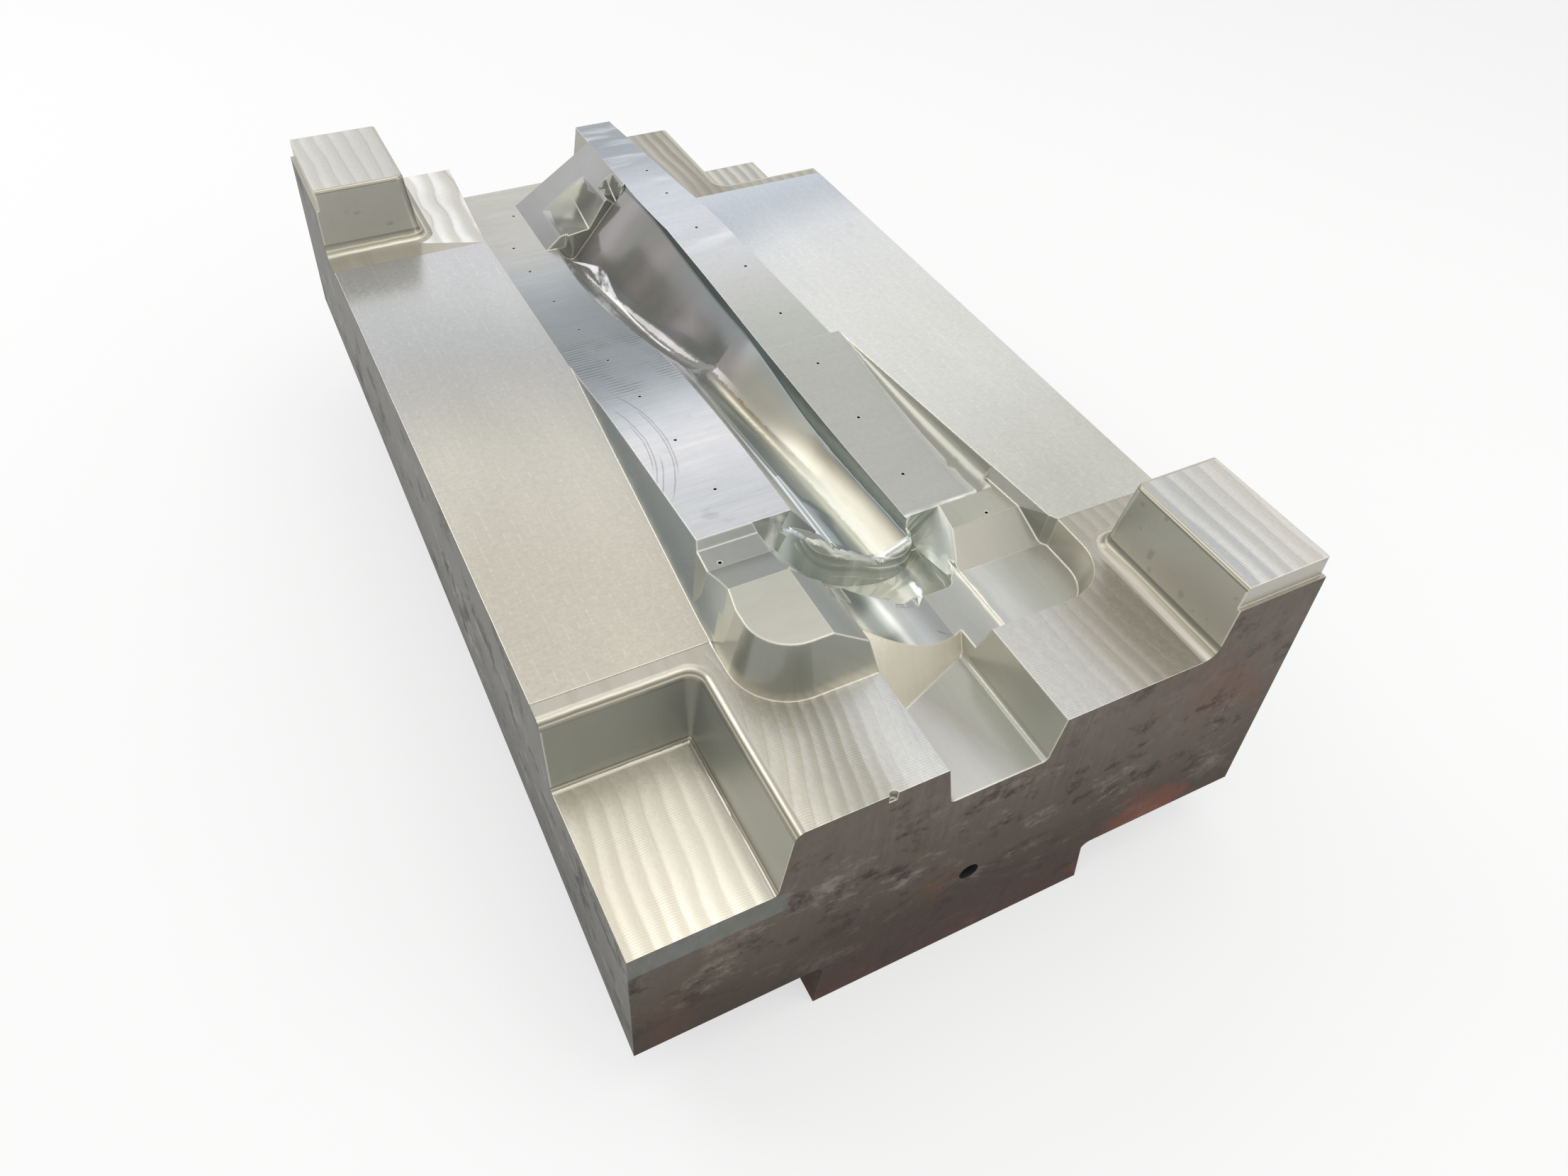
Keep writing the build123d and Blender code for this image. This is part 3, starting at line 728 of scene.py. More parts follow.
@dataclass(frozen=True)
class HollowSteel:
    """The polished hollow, with its reflections painted along its own lines: its ledge, its bottom and its
    right strip.
    """

    name: str = "polished_hollow"
    left_line: Line = ((222.0, -48.5), (300.0, -42.0), (450.0, -34.0), (520.0, -34.5), (610.0, -44.5),
                        (690.0, -48.0), (798.0, -41.5))
    ledge_line: Line = ((222.0, -3.0), (300.0, -5.5), (450.0, -12.0), (520.0, -15.0), (610.0, -26.0),
                         (690.0, -33.0), (798.0, -33.5))
    bottom_line: Line = ((222.0, 41.0), (300.0, 36.5), (450.0, 23.5), (520.0, 17.0), (610.0, 4.0),
                          (690.0, -11.0), (798.0, -22.5))
    streak_line: Line = ((560.0, 16.0), (630.0, -3.0), (712.0, -10.0), (745.0, -9.0), (772.0, -13.0),
                         (798.0, -30.0))
    strip_line: Line = ((222.0, 69.0), (300.0, 66.0), (450.0, 58.5), (520.0, 55.0), (610.0, 49.5),
                         (690.0, 45.5), (798.0, 41.5))

    def front_wall(self, board: Board, wall: Signal, near_lip: Signal, ripple: Signal) -> Signal:
        """The right wall in the front half, with painted reflections: a bright beam near the lip, and a
        bronze tint above it.

        Args:
            board: The material's board.
            wall: How far up the wall a place lies, from 0 to 1.
            near_lip: How near to the front lip it lies, from 0 to 1.
            ripple: A faint unevenness of the polish.

        Returns:
            The colour.
        """
        colour = board.shade(wall + ripple, blend(
            (0.0, 246, 238, 210), (0.08, 176, 168, 144), (0.22, 134, 130, 116),
            (0.75, 126, 125, 115), (1.0, 122, 126, 122)))
        beam = near_lip * (1.0 - (wall - near_lip * 0.55).ramp(-0.05, 0.55))
        colour = board.mix(beam, colour, tone(255, 253, 238))
        bronze = near_lip.ramp(0.15, 0.8) * wall.ramp(0.1, 0.5) * (1.0 - wall.ramp(0.8, 1.05))
        colour = board.mix(bronze * 0.3, colour, tone(190, 176, 140))
        # Painted reflection: the wall is darker from about 372 mm back.
        return board.scale(colour, 1.0 - board.y.ramp(372.0, 440.0) * wall.ramp(0.05, 0.2) * 0.36)

    def back_wall(self, board: Board, wall: Signal, flow: Signal) -> Signal:
        """The right wall in the back half, with painted reflections: soft stripes, and a touch of teal
        towards the top.

        Args:
            board: The material's board.
            wall: How far up the wall a place lies, from 0 to 1.
            flow: Noise drawn out along the block.

        Returns:
            The colour.
        """
        stripes = (board.y * 0.075 + wall * 1.6 + (flow - 0.5) * 4.0).wave()
        slow = board.noise(7.0, 2.0, (1.0, 1.0, 0.3), seed=42.0)
        colour = board.shade(slow * 0.5 + stripes * 0.3 + 0.1, blend(
            (0.15, 124, 125, 123), (0.42, 137, 137, 134), (0.6, 144, 140, 138),
            (0.8, 158, 156, 158)))
        teal = wall.ramp(0.55, 1.0) * (1.0 - board.y.ramp(600.0, 690.0))
        return board.mix(teal * 0.8, colour, tone(140, 146, 147))

    def streak(self, board: Board, ripple: Signal) -> Signal:
        """The broken white reflection along the bottom of the back half.

        Args:
            board: The material's board.
            ripple: A faint unevenness of the polish.

        Returns:
            A mask that is 1 where it shows.
        """
        clouds = board.noise(34.0, 4.0, (1.0, 0.45, 0.6), seed=43.0, rough=0.65).ramp(0.40, 0.52)
        width = 1.1 + board.y.ramp(670.0, 735.0) * (1.0 - board.y.ramp(745.0, 775.0)) * 3.0
        away = (board.x - board.curve(board.y, self.streak_line) + ripple * 12.0).math("ABSOLUTE")
        bright = clouds * (away / width).ramp(1.2, 0.75)
        return bright * board.y.ramp(560.0, 590.0) * (1.0 - board.y.ramp(788.0, 798.0))

    def material(self) -> bpy.types.Material:
        """Builds the finish.

        Returns:
            The material.
        """
        board = Board(self.name)
        left = board.curve(board.y, self.left_line)
        ledge = board.curve(board.y, self.ledge_line)
        bottom = board.curve(board.y, self.bottom_line)
        strip = board.curve(board.y, self.strip_line)
        flank = board.between(board.x, left, ledge)
        slope = board.between(board.x, ledge, bottom)
        wall = board.between(board.x, bottom, strip)
        front = 1.0 - board.y.ramp(470.0, 525.0)
        near_lip = 1.0 - board.y.ramp(280.0, 465.0)
        flow = board.noise(20.0, 3.0, (1.0, 0.12, 0.6), seed=41.0)
        ripple = (flow - 0.5) * 0.16
        slope_front = board.shade(slope + ripple, blend(
            (0.0, 176, 184, 184), (0.22, 150, 160, 160), (0.62, 146, 155, 152),
            (0.86, 166, 168, 156), (1.0, 240, 234, 208)))
        # Painted highlight: a bright band on the slope near the lip.
        slope_front = board.mix(near_lip * slope.ramp(0.6, 0.98), slope_front, tone(255, 253, 240))
        slope_back = board.shade(slope + ripple * 2.0, blend(
            (0.0, 166, 171, 172), (0.3, 148, 151, 150), (1.0, 140, 139, 136)))
        lower = board.mix(front, slope_back, slope_front)
        upper = board.mix(front, self.back_wall(board, wall, flow),
                          self.front_wall(board, wall, near_lip, ripple))
        colour = board.mix(wall.ramp(0.0, 0.04), lower, upper)
        flank_tone = board.shade(flank + ripple, blend(
            (0.0, 230, 236, 237), (0.2, 178, 186, 187), (0.6, 166, 173, 174),
            (1.0, 200, 206, 206)))
        colour = board.mix(slope.ramp(0.0, 0.03), flank_tone, colour)
        # Painted highlights: two bright lines along the ledge.
        twin = board.x - ledge + ripple * 6.0
        first = twin.math("ABSOLUTE").ramp(1.3, 0.3)
        second = (twin - 4.2).math("ABSOLUTE").ramp(1.1, 0.2)
        colour = board.mix(((first + second) * (0.15 + front * 0.75)).clamp(), colour, tone(244, 246, 246))
        bright = self.streak(board, ripple)
        colour = board.mix(bright, colour, tone(255, 255, 255))
        # Painted reflection: a dark band along the right strip.
        edge_strip = (board.x - strip).ramp(-0.6, 0.4)
        colour = board.mix(edge_strip, colour, tone(112, 120, 118))
        # Fine grain, and a painted reflection that lightens the back end.
        grain = board.noise(300.0, 2.0, (1.0, 0.2, 1.0), seed=44.0)
        colour = board.scale(colour, 1.0 + (grain - 0.5) * 0.07 + board.y.ramp(720.0, 785.0) * 0.22)
        glow = bright * (1.0 - front)
        rough = 0.20 + (grain - 0.5) * 0.06 - (1.0 - front) * 0.06 + glow * 0.30
        return board.finish(colour, rough, 0.55 - glow * 0.5)


@dataclass(frozen=True)
class BowlSteel:
    """The mirror bowl, with painted reflections: a dark green-grey mirror crossed by thin bright lines
    parallel to the lip.
    """

    name: str = "polished_bowl"
    lip_line: Line = ((-80.0, 60.0), (-48.0, 40.0), (-20.0, -8.0), (18.0, -28.0), (45.0, -41.0),
                      (63.0, -42.0), (76.0, -20.0), (104.0, 0.0))

    def material(self) -> bpy.types.Material:
        """Builds the finish.

        Returns:
            The material.
        """
        board = Board(self.name)
        lip = board.curve(board.x, self.lip_line)
        _, facing_y, up = board.split(board.facing)
        swirl = board.noise(14.0, 3.0, (1.0, 1.0, 1.0), seed=51.0)
        below = lip - board.z + (swirl - 0.5) * 5.0
        # Painted reflections on the roll, set by how steep the surface is.
        rolled = board.shade(up + (swirl - 0.5) * 0.2, blend(
            (0.0, 200, 204, 198), (0.3, 182, 187, 180), (0.55, 236, 238, 228),
            (0.72, 190, 196, 191), (0.9, 228, 230, 220), (1.0, 242, 240, 226)))
        on_wall = 1.0 - facing_y.ramp(-0.85, -0.5)
        # Painted reflection: white streaks on the wall.
        streaks = board.noise(20.0, 3.0, (2.0, 1.0, 0.5), seed=52.0).ramp(0.54, 0.66)
        streaks = streaks * (1.0 - board.x.ramp(-10.0, 30.0)) * 0.9
        wall = board.mix(streaks, tone(178, 183, 176), tone(252, 254, 254))
        colour = board.mix(on_wall * (1.0 - up.ramp(0.05, 0.4)), rolled, wall)
        # Painted reflection: brownish patches on the floor.
        brown = board.noise(18.0, 4.0, seed=53.0).ramp(0.42, 0.6) * up.ramp(0.3, 0.7)
        brown = brown * board.y.ramp(205.0, 185.0)
        colour = board.mix(brown * 0.8, colour, tone(172, 160, 140))
        # Painted highlights: thin bright lines below the lip.
        lines = board.nothing()
        for depth, width in ((1.5, 1.1), (11.0, 1.0), (24.0, 1.2)):
            lines = lines.math("MAXIMUM", (below - depth).math("ABSOLUTE").ramp(width, width * 0.3))
        lines = lines * board.noise(22.0, 2.0, (1.0, 1.0, 1.0), seed=54.0).ramp(0.42, 0.56)
        shadow = board.nothing()
        for depth in (5.0, 15.5):
            shadow = shadow.math("MAXIMUM", (below - depth).math("ABSOLUTE").ramp(4.5, 0.5))
        colour = board.mix(shadow * 0.26, colour, tone(106, 112, 108))
        colour = board.mix(lines, colour, tone(248, 246, 234))
        return board.finish(colour, 0.14, 0.45)


@dataclass(frozen=True)
class ForgedSkin:
    """The dark sides of the forging, with mill scale, smears, saw marks and rust."""

    name: str
    tones: Stops
    dark: Colour
    pale: Colour
    rust: Colour
    rust_share: float = 0.4
    smear_and_sheen: float = 0.5
    saw: float = 0.0
    milled_strip: bool = False
    grain_stretch: Direction = (1.0, 1.0, 0.4)

    def material(self) -> bpy.types.Material:
        """Builds the finish.

        Returns:
            The material.
        """
        board = Board(self.name)
        cloud = board.noise(7.0, 5.0, seed=61.0, rough=0.6)
        patch = board.noise(14.0, 9.0, (1.0, 1.0, 1.7), turn=12.0, seed=62.0, rough=0.78)
        blotch = board.noise(24.0, 7.0, (1.0, 1.0, 1.3), seed=63.0, rough=0.72)
        fine = board.noise(150.0, 5.0, self.grain_stretch, seed=64.0, rough=0.62)
        colour = board.shade(board.z + (cloud - 0.5) * 50.0, self.tones)
        middle = board.z.ramp(-185.0, -140.0) * (1.0 - board.z.ramp(-70.0, -40.0)) * 0.8 + 0.2
        colour = board.mix(patch.ramp(0.50, 0.66) * middle * self.smear_and_sheen, colour, self.pale)
        colour = board.mix(blotch.ramp(0.52, 0.64) * (0.45 + middle * 0.45), colour, self.dark)
        low = (1.0 - board.z.ramp(-215.0, -120.0)) * (0.3 + board.x.ramp(-140.0, 0.0) * 0.7)
        rusty = board.noise(11.0, 6.0, seed=65.0, rough=0.62).ramp(0.5, 0.64)
        rusty = rusty * (low * 0.75 + board.x.ramp(90.0, 260.0) * 0.35).clamp()
        colour = board.mix(rusty * self.rust_share, colour, self.rust)
        light = 1.0 + (fine - 0.5) * 0.7 + (cloud - 0.5) * 0.25
        if self.saw > 0.0:
            teeth = board.noise(240.0, 3.0, (1.0, 1.0, 0.03), seed=66.0, rough=0.7)
            under_trough = 1.0 - (board.x - 5.0).math("ABSOLUTE").ramp(70.0, 150.0)
            under_trough = under_trough * board.z.ramp(-120.0, -60.0)
            light = light + (teeth - 0.5) * (under_trough * self.saw + 0.08)
        if self.milled_strip:
            strip = (board.z + 79.0).math("ABSOLUTE").ramp(13.0, 10.5)
            strip = strip * (1.0 - board.x.ramp(-168.0, -160.0)) * (1.0 - board.y.ramp(1.0, 5.0))
            colour = board.mix(strip * 0.85, colour, tone(114, 117, 112))
        colour, rounded = Edges(0.0007, 0.35, tone(168, 166, 160)).on(board, board.scale(colour, light))
        rough = 0.58 + (fine - 0.5) * 0.3 - patch.ramp(0.54, 0.68) * 0.12
        normal = board.bump(fine * 0.45 + patch * 0.55, 0.0009, rounded)
        return board.finish(colour, rough, 0.05, normal, specular=0.12)


@dataclass
class Faces:
    """The middle and the direction of every face of a mesh, and the zone that each one is in.

    Places are in millimetres as the block is drawn: X from the middle line, Y from the front
    face and Z from the parting plane.
    """

    x: np.ndarray
    y: np.ndarray
    z: np.ndarray
    facing_x: np.ndarray
    facing_y: np.ndarray
    up: np.ndarray

    def __post_init__(self) -> None:
        """Starts with every face in the zone that is left over in the end."""
        self.zone = np.full(len(self.x), Zone.CHANNEL.value, np.int32)
        self.flat = self.up > 0.999
        self.bent = self.up < 0.97

    @classmethod
    def of(cls, mesh: bpy.types.Mesh) -> "Faces":
        """Reads the faces of a mesh.

        Args:
            mesh: The mesh, in metres.

        Returns:
            Its faces.
        """
        centres = np.empty(len(mesh.polygons) * 3, np.float32)
        normals = np.empty(len(mesh.polygons) * 3, np.float32)
        mesh.polygons.foreach_get("center", centres)
        mesh.polygons.foreach_get("normal", normals)
        x, y, z = (centres.reshape(-1, 3) * MILLIMETRES).T
        return cls(x, y + HALF_LENGTH, z - PARTING_HEIGHT, *normals.reshape(-1, 3).T)

    def put(self, zone: Zone, where: np.ndarray) -> None:
        """Moves faces into a zone."""
        self.zone[where] = zone.value

    def over(self, plan: Plan) -> np.ndarray:
        """Finds the faces that lie over a plan.

        Args:
            plan: The plan.

        Returns:
            A mask of the faces.
        """
        across, along = plan
        found = (self.x > across[0]) & (self.x < across[1])
        return found & (self.y > along[0]) & (self.y < along[1])

    def at(self, line: Line) -> np.ndarray:
        """The value that a line along the block has beside every face."""
        return np.interp(self.y, *zip(*line))


@dataclass
class MouldBlock:
    """The block's skin, with every face sorted into its zone. Places are in millimetres."""

    finishes: dict[Zone, Finish]
    half_width: float = 280.0
    length: float = 2 * HALF_LENGTH

    # The corners: how high the heels stand and how deep the pockets lie at least
    front_heel: Plan = ((172.0, math.inf), (-math.inf, 150.0))
    back_heel: Plan = ((-math.inf, -172.0), (800.0, math.inf))
    front_pocket: Plan = ((-math.inf, -149.0), (-math.inf, 164.0))
    back_pocket: Plan = ((149.0, math.inf), (786.0, math.inf))
    corner_height: float = 66.0

    # The milled zones, the plain strips in them, and the walls beside the lands
    milled_depth: float = 0.6
    front_strip: Plan = ((-math.inf, -149.0), (160.0, FRONT_MILLED))
    back_strip: Plan = ((-math.inf, -172.0), (BACK_MILLED, 800.0))
    bank: Plan = ((-160.0, -80.0), (171.0, 560.0))
    channel: Plan = ((-160.0, -80.0), (500.0, math.inf))
    sink: Plan = ((60.0, 180.0), (171.0, math.inf))

    # The lands and the hollow, as heights or sideways places along the block
    land_start: float = 238.0
    left_land: Line = ((238.0, 37.0), (290.0, 31.2), (369.0, 22.3), (448.0, 12.9), (531.0, 0.0),
                       (606.0, -14.5), (683.0, -28.0), (745.0, -36.0), (790.0, -39.0), (950.0, -39.0))
    right_land: Line = ((238.0, -20.0), (290.0, -18.0), (330.0, -15.6), (371.0, -12.0), (430.0, -5.6),
                        (483.0, 0.0), (690.0, 23.0), (950.0, 23.0))
    hollow_span: Span = (232.5, 798.5)
    hollow_left: Line = ((222.0, -49.0), (450.0, -34.0), (520.0, -34.5), (610.0, -44.5), (690.0, -48.0),
                         (798.0, -41.5))
    hollow_right: Line = ((222.0, 73.0), (450.0, 61.5), (520.0, 57.5), (610.0, 52.5), (690.0, 48.0),
                          (798.0, 44.2))

    # The facets behind the hollow, and the window with the pad, the benches and the basin
    incline: Plan = ((-52.5, 43.5), (797.5, math.inf))
    facet: Plan = ((-40.0, 43.0), (797.5, 870.0))
    window: Plan = ((-143.5, 175.5), (93.0, 240.0))
    end_wall_start: float = 205.0
    left_bench: float = 31.5
    right_bench: float = -13.0
    basin: Span = (-28.5, -24.0)
    pad_low: float = 45.0
    pad_high: float = 46.5

    # The mouth: the run-off, the bowl and the front trough
    runoff: Plan = ((-80.0, 84.0), (93.0, 164.6))
    bowl: Plan = ((-79.0, 105.0), (146.0, 238.1))
    bowl_notch: Plan = ((-math.inf, -56.0), (-math.inf, 164.0))
    trough: Plan = ((-62.0, 57.0), (-math.inf, 141.0))
    trough_depth: float = 60.0

    # Outside: the underside's height at the front and its rise to the back, and the drilled holes
    underside: tuple[float, float] = (-206.0, 73.0)
    lifting_depth: float = 160.0
    lifting_radius: float = 9.0
    lifting_reach: float = 50.0
    gauge_radius: float = 1.5
    gauge_rows: tuple[float, ...] = (290.0, 369.0, 448.0, 526.5, 606.0, 683.0, 762.0, 818.0)

    # How alike two directions are, as a cosine, for their shading to run into each other
    crease: float = 0.86

    @property
    def gauge_holes(self) -> list[tuple[float, float]]:
        """Lists the small gauge holes.

        Returns:
            Where each one is, across and along the block.
        """
        holes = [(-61.0, 886.0), (-114.7, 213.5), (134.2, 213.5)]
        for row in self.gauge_rows:
            holes += [(-83.0, row), (99.2 if row < 650.0 else 79.0, row)]
        return holes

    def skin(self, node: bpy.types.Object) -> bpy.types.Object:
        """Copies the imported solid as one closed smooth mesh.

        Args:
            node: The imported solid.

        Returns:
            The new object.
        """
        source = node.data
        points = np.empty(len(source.vertices) * 3, np.float32)
        source.vertices.foreach_get("co", points)
        points = points.reshape(-1, 3)
        corners = np.empty(len(source.loops), np.int64)
        source.loops.foreach_get("vertex_index", corners)
        normals = np.empty(len(source.loops) * 3, np.float32)
        source.corner_normals.foreach_get("vector", normals)
        normals = normals.reshape(-1, 3, 3)
        micrometres = np.round(points * 1e6).astype(np.int64)
        _, first, merged = np.unique(micrometres, axis=0, return_index=True, return_inverse=True)
        triangles = merged.reshape(-1)[corners].reshape(-1, 3)
        whole = (triangles[:, 0] != triangles[:, 1]) & (triangles[:, 1] != triangles[:, 2])
        whole &= triangles[:, 0] != triangles[:, 2]
        triangles, normals = triangles[whole], normals[whole]
        mesh = bpy.data.meshes.new("block_skin")
        mesh.from_pydata(points[first].tolist(), [], triangles.tolist())
        mesh.polygons.foreach_set("use_smooth", np.ones(len(triangles), bool))
        mesh.normals_split_custom_set(normals.reshape(-1, 3).tolist())
        skin = bpy.data.objects.new("block_skin", mesh)
        bpy.context.scene.collection.objects.link(skin)
        return skin

    def zones(self, mesh: bpy.types.Mesh) -> np.ndarray:
        """Sorts the faces into zones, where a later rule goes before an earlier one.

        Args:
            mesh: The skin's mesh.

        Returns:
            One zone number for each face.
        """
        faces = Faces.of(mesh)
        self.sort_corners(faces)
        self.sort_top(faces)
        self.sort_lands(faces)
        self.sort_window(faces)
        self.sort_mouth(faces)
        self.sort_outside(faces)
        return faces.zone

    def sort_corners(self, faces: Faces) -> None:
        """Sorts the heels and the lock pockets.

        Args:
            faces: The skin's faces.
        """
        heels = faces.over(self.front_heel) | faces.over(self.back_heel)
        pockets = faces.over(self.front_pocket) | faces.over(self.back_pocket)
        faces.put(Zone.HEEL_WALL, heels)
        faces.put(Zone.POCKET_WALL, pockets)
        faces.put(Zone.ROUNDED, (heels | pockets) & (faces.up > 0.17))
        faces.put(Zone.HEEL_TOP, faces.flat & (faces.z > self.corner_height))
        faces.put(Zone.POCKET_FLOOR, faces.flat & (faces.z < -self.corner_height))

    def sort_top(self, faces: Faces) -> None:
        """Sorts the plateaus, the milled zones and the walls that stand beside the lands.

        Args:
            faces: The skin's faces.
        """
        right = faces.x > 0.0
        plateau = faces.flat & (np.abs(faces.z) < 0.3)
        plateau &= (faces.y > FRONT_MILLED) & (faces.y < BACK_MILLED)
        faces.put(Zone.LEFT_PLATEAU, plateau & ~right)
        faces.put(Zone.RIGHT_PLATEAU, plateau & right)
        milled = faces.flat & (np.abs(faces.z + self.milled_depth) < 0.2)
        faces.put(Zone.LEFT_MILLED, milled & ~right)
        faces.put(Zone.BACK_MILLED, milled & ~right & (faces.y > HALF_LENGTH))
        faces.put(Zone.RIGHT_MILLED, milled & right)
        strips = faces.over(self.front_strip) | faces.over(self.back_strip)
        faces.put(Zone.ROUNDED, milled & strips)
        faces.put(Zone.BANK, faces.bent & faces.over(self.bank) & (faces.z > -0.5))
        channel = faces.over(self.channel) & ~faces.over(self.back_heel)
        faces.put(Zone.CHANNEL, faces.bent & channel & (faces.z < 0.5))
        sink = faces.over(self.sink) & ~faces.over(self.back_pocket)
        faces.put(Zone.SINK_WALL, faces.bent & sink)

    def in_hollow(self, faces: Faces) -> np.ndarray:
        """Finds the faces that lie over the hollow.

        Args:
            faces: The skin's faces.

        Returns:
            A mask of the faces.
        """
        start, end = self.hollow_span
        found = (faces.y > start) & (faces.y < end)
        found &= faces.x > faces.at(self.hollow_left) - 1.0
        return found & (faces.x < faces.at(self.hollow_right) + 1.0)

    def sort_lands(self, faces: Faces) -> None:
        """Sorts the hollow, the two lands beside it and the facets behind it.

        Args:
            faces: The skin's faces.
        """
        faces.put(Zone.HOLLOW, self.in_hollow(faces))
        level = (faces.up > 0.96) & (faces.y > self.land_start)
        on_left = level & (np.abs(faces.z - faces.at(self.left_land)) < 1.2)
        on_left &= (faces.x > -125.0) & (faces.x < faces.at(self.hollow_left) + 2.0)
        on_right = level & (np.abs(faces.z - faces.at(self.right_land)) < 1.2)
        on_right &= (faces.x > faces.at(self.hollow_right) - 2.0) & (faces.x < 150.0)
        faces.put(Zone.LEFT_LAND, on_left)
        faces.put(Zone.RIGHT_LAND, on_right & ~faces.over(self.back_pocket) & ~faces.over(self.back_heel))
        faces.put(Zone.INCLINE, faces.over(self.incline) & (faces.facing_x < -0.2) & (faces.up > 0.5))
        turned = faces.bent & (np.abs(faces.facing_y) > 0.02)
        faces.put(Zone.FACET, faces.over(self.facet) & turned & (faces.z < 22.0))

    def sort_window(self, faces: Faces) -> None:
        """Sorts the pad, the benches, the basin and the walls between them.

        Args:
            faces: The skin's faces.
        """
        window = faces.over(self.window)
        steep = faces.up <= 0.6
        faces.put(Zone.PAD_WALL, window & steep & (faces.y < FRONT_MILLED))
        beside = (faces.x < -50.0) | (faces.x > 70.0)
        faces.put(Zone.END_WALL, window & beside & (faces.y > self.end_wall_start) & (faces.up <= 0.97))
        faces.put(Zone.STEP, window & ~steep & (np.abs(faces.facing_y) > 0.1))
        faces.put(Zone.PAD, window & faces.flat & (faces.z > self.pad_low))
        bench = np.abs(faces.z - self.left_bench) < 1.0
        bench |= np.abs(faces.z - self.right_bench) < 1.0
        faces.put(Zone.BENCH, window & faces.flat & bench)
        low, high = self.basin
        faces.put(Zone.BASIN, window & faces.flat & (faces.z > low) & (faces.z < high))

    def sort_mouth(self, faces: Faces) -> None:
        """Sorts the run-off, the bowl and the front trough with its leaning end.

        Args:
            faces: The skin's faces.
        """
        x, y, z, up = faces.x, faces.y, faces.z, faces.up
        tilt = np.abs(faces.facing_y)
        below_pad = z < self.pad_high
        runoff = faces.over(self.runoff) & below_pad & (up > 0.3) & (tilt < 0.02)
        faces.put(Zone.RUNOFF, runoff & ~(faces.flat & (x > 40.0)))
        level_across = (np.abs(faces.facing_x) < 0.01) & (up > 0.3)
        bowl = faces.over(self.bowl) & below_pad & ~level_across & ~self.in_hollow(faces)
        bowl &= (y > self.runoff[1][1]) | (tilt > 0.02) | (up < 0.3)
        faces.put(Zone.BOWL, bowl & ~faces.over(self.bowl_notch))
        trough = faces.over(self.trough)
        sunk = ((z < -1.0) | (up < 0.9)) & (z > -self.trough_depth)
        above = (y > self.window[1][0]) & (up > 0.3) & (z > -38.0)
        faces.put(Zone.TROUGH, trough & sunk & ~above & (tilt < 0.05))
        faces.put(Zone.LEANING, trough & (faces.facing_y < -0.5) & (y > 20.0))

    def sort_outside(self, faces: Faces) -> None:
        """Sorts the four sides, the underside, the foot and the drilled holes.

        Args:
            faces: The skin's faces.
        """
        skin = 0.05
        faces.put(Zone.SIDE, np.abs(faces.x) > self.half_width - skin)
        faces.put(Zone.FRONT, (faces.y < skin) | (faces.y > self.length - skin))
        faces.put(Zone.UNDER, faces.up < -0.3)
        start, rise = self.underside
        faces.put(Zone.FOOT, faces.z < start + rise * faces.y / self.length - 0.2)
        faces.put(Zone.BORE, self.bores(faces))

    def bores(self, faces: Faces) -> np.ndarray:
        """Finds the faces inside drilled holes.

        Args:
            faces: The skin's faces.

        Returns:
            A mask of the faces.
        """
        found = np.hypot(faces.x, faces.z + self.lifting_depth) < self.lifting_radius
        found &= (faces.y < self.lifting_reach) & (faces.y > 0.1)
        lands = faces.at(self.left_land), faces.at(self.right_land)
        benches = self.left_bench, self.right_bench
        for hole_x, hole_y in self.gauge_holes:
            side = int(hole_x > 0.0)
            surface = lands[side]
            if hole_y < self.land_start:
                surface = np.full_like(surface, benches[side])
            near = np.hypot(faces.x - hole_x, faces.y - hole_y) < self.gauge_radius + 0.05
            found |= near & (faces.z < surface - 0.3)
        return found

    def rim_places(self, skin: bpy.types.Object) -> list[tuple[Vector, Vector]]:
        """Finds where the gauge holes open on the skin.

        Args:
            skin: The block's skin.

        Returns:
            The middle of each hole's mouth and the way its surface faces.
        """
        found = []
        reach = (self.gauge_radius + 0.5) / MILLIMETRES
        over_block = 0.5
        down = Vector((0.0, 0.0, -1.0))
        for hole_x, hole_y in self.gauge_holes:
            centre = Vector((hole_x / MILLIMETRES, (hole_y - HALF_LENGTH) / MILLIMETRES, over_block))
            hits = []
            for side in ((1.0, 0.0), (0.0, 1.0), (-1.0, 0.0), (0.0, -1.0)):
                start = centre + Vector((side[0] * reach, side[1] * reach, 0.0))
                hits.append(skin.ray_cast(start, down)[1])
            way = (hits[0] - hits[2]).cross(hits[1] - hits[3]).normalized()
            found.append((sum(hits, Vector()) / 4.0, way))
        return found

    def soften(self, mesh: bpy.types.Mesh, polished: np.ndarray) -> None:
        """Evens out the shading where the patches of a polished skin meet at faint creases.

        Args:
            mesh: The block's skin.
            polished: Which faces are polished.
        """
        count = len(mesh.polygons)
        corners = np.empty(count * 3, np.int64)
        mesh.loops.foreach_get("vertex_index", corners)
        normals = np.empty(count * 9, np.float32)
        mesh.corner_normals.foreach_get("vector", normals)
        normals = normals.reshape(-1, 3)
        own = np.empty(count * 3, np.float32)
        mesh.polygons.foreach_get("normal", own)
        areas = np.empty(count, np.float32)
        mesh.polygons.foreach_get("area", areas)
        own = np.repeat(own.reshape(-1, 3), 3, axis=0)
        inside = np.repeat(polished, 3)
        sums = np.zeros((len(mesh.vertices), 3))
        weights = np.repeat(areas, 3)[inside, None]
        np.add.at(sums, corners[inside], own[inside] * weights)
        means = sums / np.maximum(np.linalg.norm(sums, axis=1, keepdims=True), 1e-12)
        mean = means[corners]
        take = inside & ((mean * own).sum(axis=1) > self.crease)
        normals[take] = mean[take]
        mesh.normals_split_custom_set(normals.tolist())

